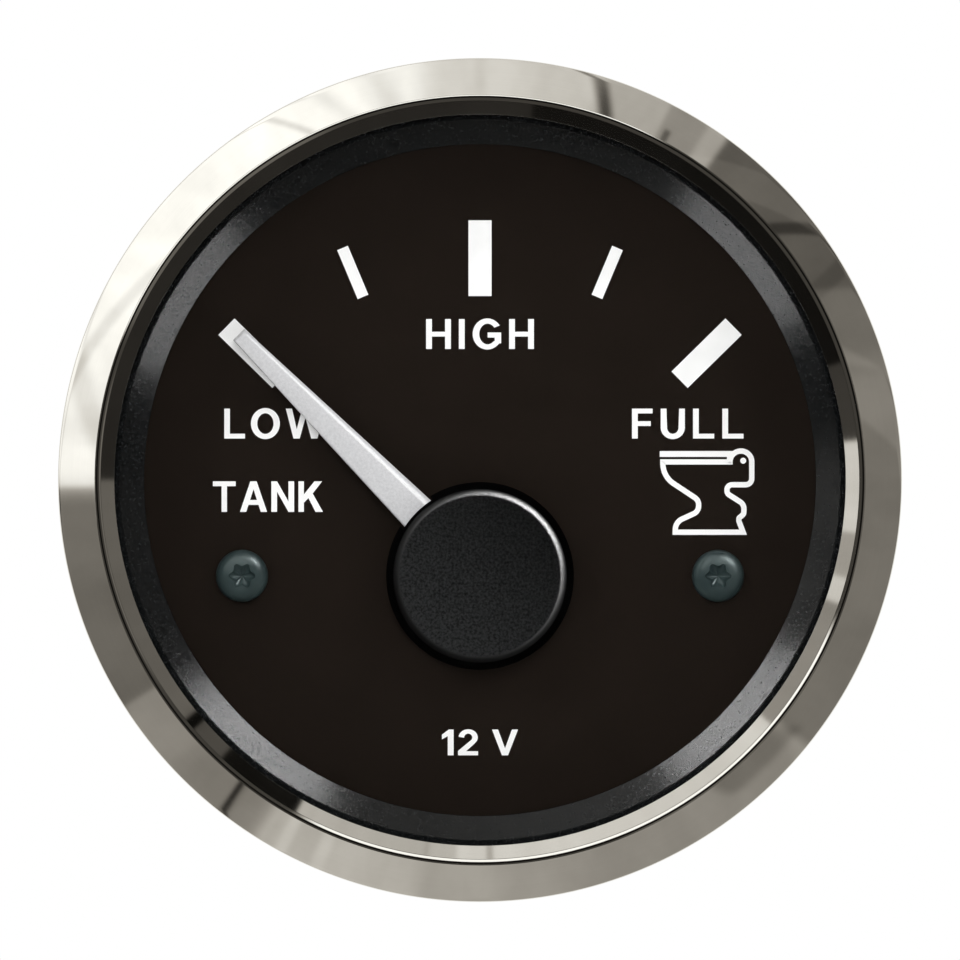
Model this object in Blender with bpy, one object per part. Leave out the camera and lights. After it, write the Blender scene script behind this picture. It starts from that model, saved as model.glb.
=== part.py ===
# Panel gauge for a tank level: a 52 mm round dial instrument with a rolled steel bezel,
# a cross-coil movement behind the dial, and a clamp bracket that holds it in a panel.
#
# Metres, +Z up. The dial faces -Y. The origin is on the gauge's axis, in the plane where the
# front seal meets the panel, so everything with a positive Y is behind the panel.

import math

import bmesh
import bpy
from mathutils import Matrix, Vector

# General
seat_gap = 0.0001
front_segments = 60
cap_segments = 36
case_segments = 48
inner_segments = 32
movement_segments = 20
boss_segments = 16
shaft_segments = 12
hole_segments = 8
pin_segments = 6
smooth_below = 32.0

# Bezel: one ring of polished sheet, rolled over the head of the case
bezel_radius = 0.0310
bezel_sheet = 0.0007
bezel_cone_width = 0.00265
bezel_cone_drop = 0.0021
crest_width = 0.0004
lip_slope_width = 0.0011
lip_slope_drop = 0.00085
lip_edge = 0.0004
lip_seat_width = 0.0009
hem_width = 0.0020
hem_round = 0.0005
skirt_round = 0.0003

# Lens and its seal
lens_overlap = 0.00175
lens_thickness = 0.0018
lens_gasket_thickness = 0.0008
lens_gasket_width = 0.0013

# Dial and its ring
dial_thickness = 0.0008
dial_edge_clearance = 0.0002
ring_reveal = 0.00035
ring_slope_width = 0.0018
ring_slope_drop = 0.00105
ring_land = 0.0005
ring_foot = 0.0003
pivot_rise = 0.01765
dial_hole_clearance = 0.00075

# Case: a moulded head and barrel
case_overhang = 0.00525
case_floor_thickness = 0.0012
barrel_wall = 0.0015
barrel_draft = 0.0002
back_wall = 0.0020
back_round = 0.0012
back_round_share = 0.3
back_space = 0.0018
panel_gasket_proud = 0.0008
panel_gasket_clearance = 0.0002

# Printed scale marks, measured out from the pivot
mark_top_margin = 0.0056
long_mark_length = 0.00557
long_mark_width = 0.0017
short_mark_length = 0.0039
short_mark_width = 0.00085
mark_thickness = 0.00012
mark_gap = 0.00004
scale_half_angle = 45.5

# Dial screws: small six-lobe pan heads
screw_rim_margin = 0.00583
screw_head_radius = 0.00192
screw_head_height = 0.0012
screw_head_shape = ((0.0, 0.0), (0.55, 0.08), (0.88, 0.38), (1.0, 0.8), (0.97, 1.0))
screw_shank_radius = 0.0009
screw_hole_clearance = 0.0002
screw_engagement = 0.0030
socket_radius = 0.0009
socket_lobes = 6
socket_lobe = 0.00016
socket_depth = 0.0006

# Pointer and its cap
pointer_rest_angle = -45.0
pointer_short_of_marks = 0.00105
pointer_tip_width = 0.00116
pointer_tip_bevel = 0.00035
pointer_tip_drop = 0.0003
pointer_root_width = 0.00270
pointer_thickness = 0.0009
pointer_ridge_share = 0.46
pointer_root_share = 0.6
pointer_float = 0.0010
pointer_hub_rise = 0.0004
pointer_hub_side_gap = 0.0002
pointer_bore_gap = 0.0001
cap_base_radius = 0.00692
cap_draft = 0.00052
cap_round = 0.00045
cap_wall = 0.0008
cap_float = 0.0007
cap_lens_clearance = 0.00065
cap_notch_clearance = 0.00015
spindle_radius = 0.00075

# Light box, circuit board and lamps
light_box_side_clearance = 0.00015
light_box_depth = 0.0058
light_box_wall = 0.0012
light_box_boss_wall = 0.0011
light_box_hole_clearance = 0.00165
board_side_clearance = 0.00045
board_thickness = 0.0016
board_hole_clearance = 0.00045
lamp_edge_margin = 0.0086
lamp_angles = (135.0, 45.0, 225.0, 315.0)
lamp_width = 0.0032
lamp_depth = 0.0028
lamp_height = 0.0019
lamp_window_clearance = 0.0004

# Cross-coil movement, centred on the pivot behind the board
carrier_thickness = 0.0032
carrier_ear_wall = 0.0017
carrier_arm_share = 0.5
rotor_radius = 0.0057
rotor_thickness = 0.0040
rotor_clearance = 0.0006
bobbin_wall = 0.0010
bearing_wall = 0.00055
bearing_depth = 0.0030
coil_width = 0.0040
coil_build = 0.0020
coil_clearance = 0.0003
coil_corner_round = 0.0012
coil_inner_corner_round = 0.0005
post_radius = 0.0010
can_clearance = 0.0003
can_wall = 0.0007
pin_radius = 0.0004
pin_length = 0.0046
pin_side_gap = 0.0012

# Terminals through the back of the case
thread_radius = 0.0020
thread_clearance = 0.0002
thread_chamfer = 0.0005
terminal_angle = 41.5
terminal_edge_margin = 0.0013
terminal_collar_width = 0.0012
terminal_collar_thickness = 0.0012
terminal_boss_width = 0.0007
terminal_boss_height = 0.0010
terminal_stud_reach = 0.0100
washer_width = 0.0023
washer_thickness = 0.0008
nut_across_flats = 0.0070
nut_thickness = 0.0032
blade_width = 0.0048
blade_thickness = 0.0008
blade_angle = 38.2
blade_edge_margin = 0.00305
blade_reach = 0.0080
blade_slot_clearance = 0.0001

# Clamp: two studs, a U bracket and two thumb nuts
clamp_stud_edge_margin = 0.00155
clamp_stud_length = 0.0240
clamp_stud_head_width = 0.0015
clamp_stud_head_thickness = 0.0015
bracket_sheet = 0.0015
bracket_width = 0.0100
bracket_side_clearance = 0.00085
bracket_back_clearance = 0.0008
bracket_foot_reach = 0.0037
bracket_bend_radius = 0.0006
bracket_hole_clearance = 0.0003
panel_space = 0.0060
thumb_nut_rim_width = 0.0040
thumb_nut_thickness = 0.0050
thumb_nut_collar_width = 0.0020
thumb_nut_collar_height = 0.0020
thumb_nut_flutes = 14
points_per_flute = 4
thumb_nut_flute_depth = 0.0005

# Radii, from the bezel inwards
crest_radius = bezel_radius - bezel_cone_width - crest_width / 2
lip_radius = crest_radius - crest_width / 2 - lip_slope_width
ring_mouth_radius = lip_radius - ring_reveal
dial_window_radius = ring_mouth_radius - ring_slope_width
ring_outer_radius = ring_mouth_radius + ring_land
case_cup_radius = ring_outer_radius + seat_gap
dial_radius = case_cup_radius - dial_edge_clearance
lens_radius = lip_radius + lens_overlap
hem_radius = bezel_radius - hem_width
skirt_inner_radius = bezel_radius - bezel_sheet
case_head_radius = skirt_inner_radius - seat_gap
barrel_radius = bezel_radius - case_overhang
barrel_inner_radius = barrel_radius - barrel_wall
barrel_room_radius = barrel_inner_radius - barrel_draft
light_box_radius = barrel_room_radius - light_box_side_clearance
board_radius = barrel_room_radius - board_side_clearance
lamp_ring_radius = board_radius - lamp_edge_margin

# Places on the dial
pivot_drop = dial_window_radius - pivot_rise
mark_outer_radius = dial_window_radius + pivot_drop - mark_top_margin
pointer_length = mark_outer_radius - pointer_short_of_marks
screw_ring_radius = dial_window_radius - screw_rim_margin
screw_offset = math.sqrt(screw_ring_radius**2 - pivot_drop**2)
cap_top_radius = cap_base_radius - cap_draft
pointer_hub_radius = cap_top_radius - cap_wall - pointer_hub_side_gap
pointer_root_reach = pointer_hub_radius * pointer_root_share

# The movement, from its spindle outwards
bearing_radius = spindle_radius + seat_gap
bearing_tube_radius = bearing_radius + bearing_wall
chamber_radius = rotor_radius + rotor_clearance
chamber_half_depth = rotor_thickness / 2 + rotor_clearance
bobbin_radius = chamber_radius + bobbin_wall
bobbin_half_depth = chamber_half_depth + bobbin_wall
inner_coil_half_depth = bobbin_half_depth + coil_clearance + coil_build
outer_coil_half_depth = inner_coil_half_depth + coil_clearance + coil_build
coil_inner_half_height = bobbin_radius + coil_clearance
coil_outer_half_height = coil_inner_half_height + coil_build
coil_offset = bearing_tube_radius + coil_clearance / 2 + coil_width / 2
coil_pair_half_width = coil_offset + coil_width / 2
post_offset = coil_pair_half_width + coil_clearance + post_radius
can_inner_radius = math.hypot(coil_outer_half_height, coil_pair_half_width) + can_clearance
can_radius = can_inner_radius + can_wall
carrier_ear_radius = screw_shank_radius + carrier_ear_wall

# Depths on the front of the panel, from the panel to the crest
hem_back_y = -panel_gasket_proud
hem_front_y = hem_back_y - bezel_sheet
case_head_back_y = hem_front_y - seat_gap
case_floor_y = case_head_back_y - case_floor_thickness
dial_back_y = case_floor_y - seat_gap
dial_front_y = dial_back_y - dial_thickness
needle_back_y = dial_front_y - pointer_float
needle_front_y = needle_back_y - pointer_thickness
hub_front_y = needle_front_y - pointer_hub_rise
cap_roof_y = hub_front_y - seat_gap
cap_front_y = cap_roof_y - cap_wall
cap_back_y = dial_front_y - cap_float
ring_back_y = dial_front_y - seat_gap
lens_back_y = cap_front_y - cap_lens_clearance
ring_front_y = lens_back_y + seat_gap
lens_gasket_front_y = lens_back_y + seat_gap
lens_gasket_back_y = lens_gasket_front_y + lens_gasket_thickness
case_rim_y = lens_gasket_back_y + seat_gap
lens_front_y = lens_back_y - lens_thickness
lip_seat_y = lens_front_y - seat_gap
lip_front_y = lip_seat_y - lip_edge
crest_y = lip_front_y - lip_slope_drop
skirt_front_y = crest_y + bezel_cone_drop

# Depths behind the dial, to the back of the clamp
light_box_front_y = dial_back_y + seat_gap
light_box_back_y = light_box_front_y + light_box_depth
board_front_y = light_box_back_y + seat_gap
board_back_y = board_front_y + board_thickness
carrier_front_y = board_back_y + seat_gap
carrier_back_y = carrier_front_y + carrier_thickness
movement_y = carrier_back_y + coil_clearance + outer_coil_half_depth
bearing_end_y = movement_y + bobbin_half_depth + bearing_depth
bobbin_back_y = bearing_end_y + bobbin_wall
can_front_y = carrier_back_y + seat_gap
can_inner_back_y = max(bobbin_back_y, movement_y + outer_coil_half_depth) + can_clearance
can_back_y = can_inner_back_y + can_wall
case_inner_back_y = can_back_y + back_space
case_back_y = case_inner_back_y + back_wall
terminal_boss_y = case_back_y + terminal_boss_height
foot_front_y = panel_space
bridge_front_y = foot_front_y + case_back_y + bracket_back_clearance
bridge_back_y = bridge_front_y + bracket_sheet

# Fastenings at the back
washer_radius = thread_radius + thread_clearance + washer_width
terminal_boss_radius = washer_radius + terminal_boss_width
terminal_collar_radius = thread_radius + terminal_collar_width
terminal_ring_radius = barrel_radius - back_round - terminal_edge_margin - terminal_boss_radius
blade_ring_radius = barrel_room_radius - blade_edge_margin
clamp_stud_head_radius = thread_radius + clamp_stud_head_width
clamp_stud_offset = barrel_room_radius - clamp_stud_edge_margin - clamp_stud_head_radius
thumb_nut_radius = thread_radius + thumb_nut_rim_width
thumb_nut_collar_radius = thread_radius + thumb_nut_collar_width

pivot = Vector((0.0, 0.0, -pivot_drop))


def material(name, colour, roughness, metallic=0.0, transmission=0.0):
    """A plain Principled material."""
    made = bpy.data.materials.new(name)
    made.use_nodes = True
    shader = made.node_tree.nodes["Principled BSDF"]
    shader.inputs["Base Color"].default_value = (*colour, 1.0)
    shader.inputs["Roughness"].default_value = roughness
    shader.inputs["Metallic"].default_value = metallic
    shader.inputs["Transmission Weight"].default_value = transmission
    made.diffuse_color = (*colour, 1.0)
    return made


def rounded(corners, steps=2):
    """A closed outline from (u, v, round) corners, with an arc wherever round isn't zero."""
    outline = []
    for index, (u, v, radius) in enumerate(corners):
        corner = Vector((u, v))
        if radius <= 0:
            outline.append(corner)
            continue
        before = (Vector(corners[index - 1][:2]) - corner).normalized()
        after = (Vector(corners[(index + 1) % len(corners)][:2]) - corner).normalized()
        half = before.angle(after) / 2
        centre = corner + (before + after).normalized() * (radius / math.sin(half))
        first = corner + before * (radius / math.tan(half)) - centre
        last = corner + after * (radius / math.tan(half)) - centre
        sweep = first.angle_signed(last)
        for step in range(steps + 1):
            turned_by = Matrix.Rotation(-sweep * step / steps, 2)
            outline.append(centre + turned_by @ first)
    return outline


def strip(path, thickness):
    """The outline of a sheet of that thickness folded along a path of points."""
    points = [Vector(p) for p in path]
    left, right = [], []
    for index, point in enumerate(points):
        normals = []
        for a, b in ((index - 1, index), (index, index + 1)):
            if a < 0 or b >= len(points):
                continue
            along = (points[b] - points[a]).normalized()
            normals.append(Vector((-along.y, along.x)))
        mitre = sum(normals, Vector((0.0, 0.0))) / len(normals)
        offset = mitre * (thickness / 2 / mitre.length_squared)
        left.append(point + offset)
        right.append(point - offset)
    return left + right[::-1]


def circle(radius, segments, centre=(0.0, 0.0)):
    """Points of a circle in an (x, z) plane."""
    turn = math.tau / segments
    return [
        Vector((centre[0] + radius * math.cos(turn * i), centre[1] + radius * math.sin(turn * i)))
        for i in range(segments)
    ]


def placed(name, bm, finish, at=(0.0, 0.0, 0.0), parent=None):
    """Makes an object from a closed mesh, with its faces outwards and round sides smooth."""
    bmesh.ops.remove_doubles(bm, verts=bm.verts, dist=1e-7)
    bmesh.ops.recalc_face_normals(bm, faces=bm.faces)
    mesh = bpy.data.meshes.new(name)
    bm.to_mesh(mesh)
    bm.free()
    mesh.shade_smooth()
    mesh.set_sharp_from_angle(angle=math.radians(smooth_below))
    mesh.materials.append(finish)
    made = bpy.data.objects.new(name, mesh)
    bpy.context.scene.collection.objects.link(made)
    made.location = at
    made.parent = parent
    return made


def turned_mesh(profile, segments, closed=True):
    """A mesh turned about Y from (radius, y) points. An open profile starts and ends on the axis."""
    bm = bmesh.new()
    verts = [bm.verts.new((p[0], p[1], 0.0)) for p in profile]
    edges = [bm.edges.new(pair) for pair in zip(verts, verts[1:])]
    if closed:
        edges.append(bm.edges.new((verts[-1], verts[0])))
    bmesh.ops.spin(
        bm,
        geom=verts + edges,
        cent=(0.0, 0.0, 0.0),
        axis=(0.0, 1.0, 0.0),
        angle=math.tau,
        steps=segments,
        use_merge=True,
    )
    return bm


def turned(name, profile, finish, segments, closed=True, at=(0.0, 0.0, 0.0), parent=None):
    return placed(name, turned_mesh(profile, segments, closed), finish, at, parent)


def prism_mesh(outline, front_y, back_y):
    """A mesh of an (x, z) outline extruded along Y."""
    bm = bmesh.new()
    face = bm.faces.new([bm.verts.new((p[0], front_y, p[1])) for p in outline])
    grown = bmesh.ops.extrude_face_region(bm, geom=[face])
    top = [v for v in grown["geom"] if isinstance(v, bmesh.types.BMVert)]
    bmesh.ops.translate(bm, verts=top, vec=(0.0, back_y - front_y, 0.0))
    return bm


def prism(name, outline, front_y, back_y, finish, at=(0.0, 0.0, 0.0), parent=None):
    return placed(name, prism_mesh(outline, front_y, back_y), finish, at, parent)


def box_outline(width, height, centre=(0.0, 0.0)):
    x, z = centre
    return [
        (x - width / 2, z - height / 2),
        (x + width / 2, z - height / 2),
        (x + width / 2, z + height / 2),
        (x - width / 2, z + height / 2),
    ]


def combine(target, tool, operation):
    """Cuts or joins with a tool object, which is kept out of the part."""
    tool.hide_render = True
    tool.display_type = "WIRE"
    modifier = target.modifiers.new(tool.name, "BOOLEAN")
    modifier.operation = operation
    modifier.object = tool
    modifier.solver = "EXACT"


def bore(target, radius, front_y, back_y, segments, at=(0.0, 0.0, 0.0), parent=None):
    """Drills a round hole along Y at a place in the (x, z) plane."""
    name = f"{target.name}_bore_{len(target.modifiers)}"
    tool = prism(name, circle(radius, segments), front_y, back_y, None, at, parent)
    combine(target, tool, "DIFFERENCE")


# Finishes
steel = material("polished_steel", (0.78, 0.76, 0.72), 0.12, 1.0)
plated = material("plated_steel", (0.55, 0.58, 0.58), 0.35, 1.0)
dark_zinc = material("blackened_zinc", (0.09, 0.13, 0.13), 0.35, 1.0)
brass = material("brass", (0.72, 0.55, 0.25), 0.3, 1.0)
copper = material("enamelled_copper", (0.62, 0.26, 0.12), 0.35, 1.0)
magnet = material("sintered_magnet", (0.10, 0.10, 0.11), 0.6, 0.4)
clear_glass = material("clear_glass", (1.0, 1.0, 1.0), 0.02, 0.0, 1.0)
case_black = material("moulded_black", (0.012, 0.012, 0.012), 0.45)
ring_black = material("grained_black", (0.022, 0.022, 0.023), 0.6)
dial_black = material("printed_black", (0.013, 0.010, 0.008), 0.55)
print_white = material("printed_white", (0.95, 0.95, 0.95), 0.5)
pointer_white = material("satin_silver_white", (0.68, 0.68, 0.68), 0.4)
rubber = material("rubber", (0.015, 0.015, 0.015), 0.8)
box_white = material("moulded_white", (0.85, 0.85, 0.83), 0.5)
bobbin_cream = material("moulded_cream", (0.70, 0.66, 0.55), 0.5)
board_green = material("board_green", (0.02, 0.14, 0.06), 0.4)
lamp_white = material("lamp_white", (0.90, 0.88, 0.70), 0.3)


def clear_scene():
    for old in list(bpy.data.objects):
        bpy.data.objects.remove(old, do_unlink=True)


def make_bezel():
    """The rolled ring: hem behind the head, skirt, cone, rounded crest, and lip over the lens."""
    crest_outer = crest_radius + crest_width / 2
    crest_inner = crest_radius - crest_width / 2
    cone_angle = math.atan2(bezel_cone_drop, bezel_radius - crest_outer)
    under_crest_y = crest_y + bezel_sheet / math.cos(cone_angle)
    under_skirt_y = skirt_front_y + bezel_sheet * math.tan(cone_angle / 2)
    section = rounded(
        [
            (hem_radius, hem_back_y, 0.0),
            (bezel_radius, hem_back_y, hem_round),
            (bezel_radius, skirt_front_y, skirt_round),
            (crest_outer, crest_y, 0.0),
            (crest_inner, crest_y, 0.0),
            (lip_radius, lip_front_y, 0.0),
            (lip_radius, lip_seat_y, 0.0),
            (lip_radius + lip_seat_width, lip_seat_y, 0.0),
            (crest_radius, under_crest_y, 0.0),
            (skirt_inner_radius, under_skirt_y, 0.0),
            (skirt_inner_radius, hem_front_y, 0.0),
            (hem_radius, hem_front_y, 0.0),
        ]
    )
    turned("bezel", section, steel, front_segments)


def make_lens_pack():
    """The flat glass, the rubber ring behind it, and the grained ring that frames the dial."""
    glass = [
        (0.0, lens_front_y),
        (lens_radius, lens_front_y),
        (lens_radius, lens_back_y),
        (0.0, lens_back_y),
    ]
    turned("lens", glass, clear_glass, case_segments, closed=False)
    inner = lens_radius - lens_gasket_width
    gasket = [
        (inner, lens_gasket_front_y),
        (lens_radius, lens_gasket_front_y),
        (lens_radius, lens_gasket_back_y),
        (inner, lens_gasket_back_y),
    ]
    turned("lens_gasket", gasket, rubber, case_segments)
    slope_back_y = ring_back_y - ring_foot
    ring = [
        (ring_mouth_radius, ring_front_y),
        (ring_outer_radius, ring_front_y),
        (ring_outer_radius, ring_back_y),
        (dial_window_radius, ring_back_y),
        (dial_window_radius, slope_back_y),
        (ring_mouth_radius, slope_back_y - ring_slope_drop),
    ]
    turned("dial_ring", ring, ring_black, front_segments)


def on_ring(radius, degrees):
    """The (x, z) place at that angle from +X on a circle round the gauge's axis."""
    angle = math.radians(degrees)
    return (radius * math.cos(angle), radius * math.sin(angle))


def terminal_places():
    return [on_ring(terminal_ring_radius, 90.0 + step * terminal_angle) for step in (1, 0, -1)]


def blade_places():
    return [on_ring(blade_ring_radius, 180.0 + blade_angle), on_ring(blade_ring_radius, -blade_angle)]


def clamp_stud_places():
    return [(-clamp_stud_offset, 0.0), (clamp_stud_offset, 0.0)]


def make_case():
    """The moulding: a cup that carries the dial and lens, and a barrel that passes the panel."""
    end_radius = barrel_radius - barrel_draft
    inner_end_radius = barrel_inner_radius - barrel_draft
    back_bevel = back_round * back_round_share
    section = [
        (0.0, case_back_y),
        (end_radius - back_round, case_back_y),
        (end_radius - back_bevel, case_back_y - back_bevel),
        (end_radius, case_back_y - back_round),
        (barrel_radius, case_head_back_y),
        (case_head_radius, case_head_back_y),
        (case_head_radius, case_rim_y),
        (case_cup_radius, case_rim_y),
        (case_cup_radius, case_floor_y),
        (barrel_inner_radius, case_floor_y),
        (inner_end_radius, case_inner_back_y),
        (0.0, case_inner_back_y),
    ]
    case = turned("case", section, case_black, case_segments, closed=False)
    for index, (x, z) in enumerate(terminal_places()):
        outline = circle(terminal_boss_radius, boss_segments)
        boss = prism(f"case_boss_{index}", outline, case_inner_back_y + back_wall / 2,
                     terminal_boss_y, case_black, (x, 0.0, z))
        combine(case, boss, "UNION")
    through = (case_inner_back_y - back_wall, terminal_boss_y + back_wall)
    for x, z in terminal_places() + clamp_stud_places():
        bore(case, thread_radius + thread_clearance, *through, shaft_segments, (x, 0.0, z))
    slot_width = blade_width + 2 * blade_slot_clearance
    slot = box_outline(slot_width, blade_thickness + 2 * blade_slot_clearance)
    for index, (x, z) in enumerate(blade_places()):
        tool = prism(f"case_slot_{index}", slot, *through, None, (x, 0.0, z))
        combine(case, tool, "DIFFERENCE")


def make_panel_gasket():
    """The flat rubber ring that seals the head against the panel."""
    inner = barrel_radius + panel_gasket_clearance
    outer = hem_radius - panel_gasket_clearance
    front = case_head_back_y + seat_gap
    section = [(inner, front), (outer, front), (outer, 0.0), (inner, 0.0)]
    turned("panel_gasket", section, rubber, case_segments)


def screw_places():
    return [(-screw_offset, -pivot_drop), (screw_offset, -pivot_drop)]


def make_dial():
    """The printed plate, with a hole for the spindle and one for each screw."""
    dial = prism("dial_plate", circle(dial_radius, case_segments), dial_front_y, dial_back_y, dial_black)
    through = (dial_front_y - dial_thickness, dial_back_y + dial_thickness)
    bore(dial, spindle_radius + dial_hole_clearance, *through, shaft_segments, pivot)
    for x, z in screw_places():
        bore(dial, screw_shank_radius + screw_hole_clearance, *through, hole_segments, (x, 0.0, z))


def make_scale_marks():
    """Five printed bars round the pivot, long at the ends and the middle."""
    back = dial_front_y - mark_gap
    step = scale_half_angle / 2
    names = ("low", "quarter", "half", "three_quarter", "full")
    for index, name in enumerate(names):
        is_long = index % 2 == 0
        length = long_mark_length if is_long else short_mark_length
        width = long_mark_width if is_long else short_mark_width
        outline = box_outline(width, length, (0.0, mark_outer_radius - length / 2))
        mark = prism(f"scale_mark_{name}", outline, back - mark_thickness, back, print_white, pivot)
        mark.rotation_euler.y = math.radians((index - 2) * step)


def make_dial_screws():
    """Two pan-head screws that pin the dial, the light box and the board to the carrier."""
    head_back = dial_front_y - seat_gap
    head_front = head_back - screw_head_height
    tip = carrier_front_y + screw_engagement
    profile = [
        (screw_head_radius * out, head_front + screw_head_height * back)
        for out, back in screw_head_shape
    ]
    profile += [
        (screw_shank_radius, head_back),
        (screw_shank_radius, tip - screw_shank_radius),
        (0.0, tip),
    ]
    points = 2 * socket_lobes
    lobes = [
        Matrix.Rotation(math.tau * i / points, 2)
        @ Vector((socket_radius + socket_lobe * (-1) ** i, 0.0))
        for i in range(points)
    ]
    for name, (x, z) in zip(("left", "right"), screw_places()):
        screw = turned(f"dial_screw_{name}", profile, dark_zinc, boss_segments, False, (x, 0.0, z))
        socket = prism(f"dial_socket_{name}", lobes, head_front - socket_depth, head_front + socket_depth,
                       None, (x, 0.0, z))
        combine(screw, socket, "DIFFERENCE")


def blade_half_width(reach):
    """Half the pointer's width at a distance from its pivot, on its straight taper."""
    share = (reach - cap_base_radius) / (pointer_length - cap_base_radius)
    return (pointer_root_width + (pointer_tip_width - pointer_root_width) * share) / 2


def make_pointer():
    """The white needle with its hub, the black cap, the spindle and the magnet, all on one axis."""
    axis = bpy.data.objects.new("pointer_axis", None)
    bpy.context.scene.collection.objects.link(axis)
    axis.location = pivot
    axis.rotation_euler.y = math.radians(pointer_rest_angle)

    bm = bmesh.new()
    rings = []
    for reach in (pointer_root_reach, pointer_length - pointer_tip_bevel, pointer_length):
        half = blade_half_width(reach)
        ridge = half * pointer_ridge_share
        front = needle_front_y
        if reach == pointer_length:
            front = needle_front_y + pointer_tip_drop
        section = ((-half, needle_back_y), (half, needle_back_y), (ridge, front), (-ridge, front))
        rings.append([bm.verts.new((x, y, reach)) for x, y in section])
    for lower, upper in zip(rings, rings[1:]):
        for i in range(4):
            bm.faces.new((lower[i], lower[(i + 1) % 4], upper[(i + 1) % 4], upper[i]))
    bm.faces.new(rings[0])
    bm.faces.new(rings[-1])
    blade = placed("pointer_blade_form", bm, pointer_white, parent=axis)

    bore_radius = spindle_radius + pointer_bore_gap
    hub = [
        (bore_radius, hub_front_y),
        (pointer_hub_radius, hub_front_y),
        (pointer_hub_radius, needle_back_y),
        (bore_radius, needle_back_y),
    ]
    needle = turned("pointer_needle", hub, pointer_white, movement_segments, parent=axis)
    combine(needle, blade, "UNION")

    inner_top = cap_top_radius - cap_wall
    inner_base = cap_base_radius - cap_wall
    cap_section = rounded(
        [
            (0.0, cap_front_y, 0.0),
            (cap_top_radius, cap_front_y, cap_round),
            (cap_base_radius, cap_back_y, 0.0),
            (inner_base, cap_back_y, 0.0),
            (inner_top, cap_roof_y, 0.0),
            (0.0, cap_roof_y, 0.0),
        ],
        steps=3,
    )
    cap = turned("pointer_cap", cap_section, case_black, cap_segments, False, parent=axis)
    notch_half = blade_half_width(cap_base_radius - cap_wall) + cap_notch_clearance
    notch_middle = (0.0, pointer_root_reach + cap_base_radius / 2)
    notch = box_outline(2 * notch_half, cap_base_radius, notch_middle)
    tool = prism("pointer_cap_notch", notch, needle_front_y - cap_notch_clearance, cap_back_y + cap_wall,
                 None, parent=axis)
    combine(cap, tool, "DIFFERENCE")

    spindle_end_y = bearing_end_y - seat_gap
    spindle = [
        (0.0, hub_front_y),
        (spindle_radius, hub_front_y),
        (spindle_radius, spindle_end_y - spindle_radius),
        (0.0, spindle_end_y),
    ]
    turned("pointer_spindle", spindle, plated, shaft_segments, False, parent=axis)
    rotor = [
        (bore_radius, movement_y - rotor_thickness / 2),
        (rotor_radius, movement_y - rotor_thickness / 2),
        (rotor_radius, movement_y + rotor_thickness / 2),
        (bore_radius, movement_y + rotor_thickness / 2),
    ]
    turned("magnet_rotor", rotor, magnet, movement_segments, parent=axis)


def lamp_places():
    return [on_ring(lamp_ring_radius, angle) for angle in lamp_angles]


def make_light_box():
    """The white tray behind the dial, with a boss round each dial screw and a window for each lamp."""
    inner = light_box_radius - light_box_wall
    floor_y = light_box_back_y - light_box_wall
    section = [
        (0.0, light_box_back_y),
        (light_box_radius, light_box_back_y),
        (light_box_radius, light_box_front_y),
        (inner, light_box_front_y),
        (inner, floor_y),
        (0.0, floor_y),
    ]
    box = turned("light_box", section, box_white, inner_segments, closed=False)
    for index, (x, z) in enumerate(screw_places()):
        outline = circle(screw_shank_radius + screw_hole_clearance + light_box_boss_wall, shaft_segments)
        boss = prism(f"light_box_boss_{index}", outline, light_box_front_y,
                     floor_y + light_box_wall / 2, box_white, (x, 0.0, z))
        combine(box, boss, "UNION")
    through = (light_box_front_y - light_box_wall, light_box_back_y + light_box_wall)
    for x, z in screw_places():
        bore(box, screw_shank_radius + screw_hole_clearance, *through, hole_segments, (x, 0.0, z))
    bore(box, spindle_radius + light_box_hole_clearance, *through, shaft_segments, pivot)
    window = box_outline(lamp_width + 2 * lamp_window_clearance, lamp_depth + 2 * lamp_window_clearance)
    for index, (x, z) in enumerate(lamp_places()):
        tool = prism(f"light_box_window_{index}", window, floor_y - light_box_wall, through[1], None,
                     (x, 0.0, z))
        combine(box, tool, "DIFFERENCE")


def pin_places():
    """Four places through the board and the carrier, in front of the outer windings."""
    across = post_offset
    up = post_offset - post_radius - pin_side_gap
    return [(side * across, level * up - pivot_drop) for side in (-1, 1) for level in (-1, 1)]


def make_board():
    """The round circuit board with its four lamps."""
    board = prism("circuit_board", circle(board_radius, inner_segments), board_front_y, board_back_y,
                  board_green)
    through = (board_front_y - board_thickness, board_back_y + board_thickness)
    bore(board, spindle_radius + board_hole_clearance, *through, shaft_segments, pivot)
    for x, z in screw_places():
        bore(board, screw_shank_radius + screw_hole_clearance, *through, hole_segments, (x, 0.0, z))
    for x, z in pin_places():
        bore(board, pin_radius + seat_gap, *through, pin_segments, (x, 0.0, z))
    lamp_back = board_front_y - seat_gap
    for index, (x, z) in enumerate(lamp_places()):
        prism(f"lamp_{index + 1}", box_outline(lamp_width, lamp_depth), lamp_back - lamp_height,
              lamp_back, lamp_white, (x, 0.0, z))


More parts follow.
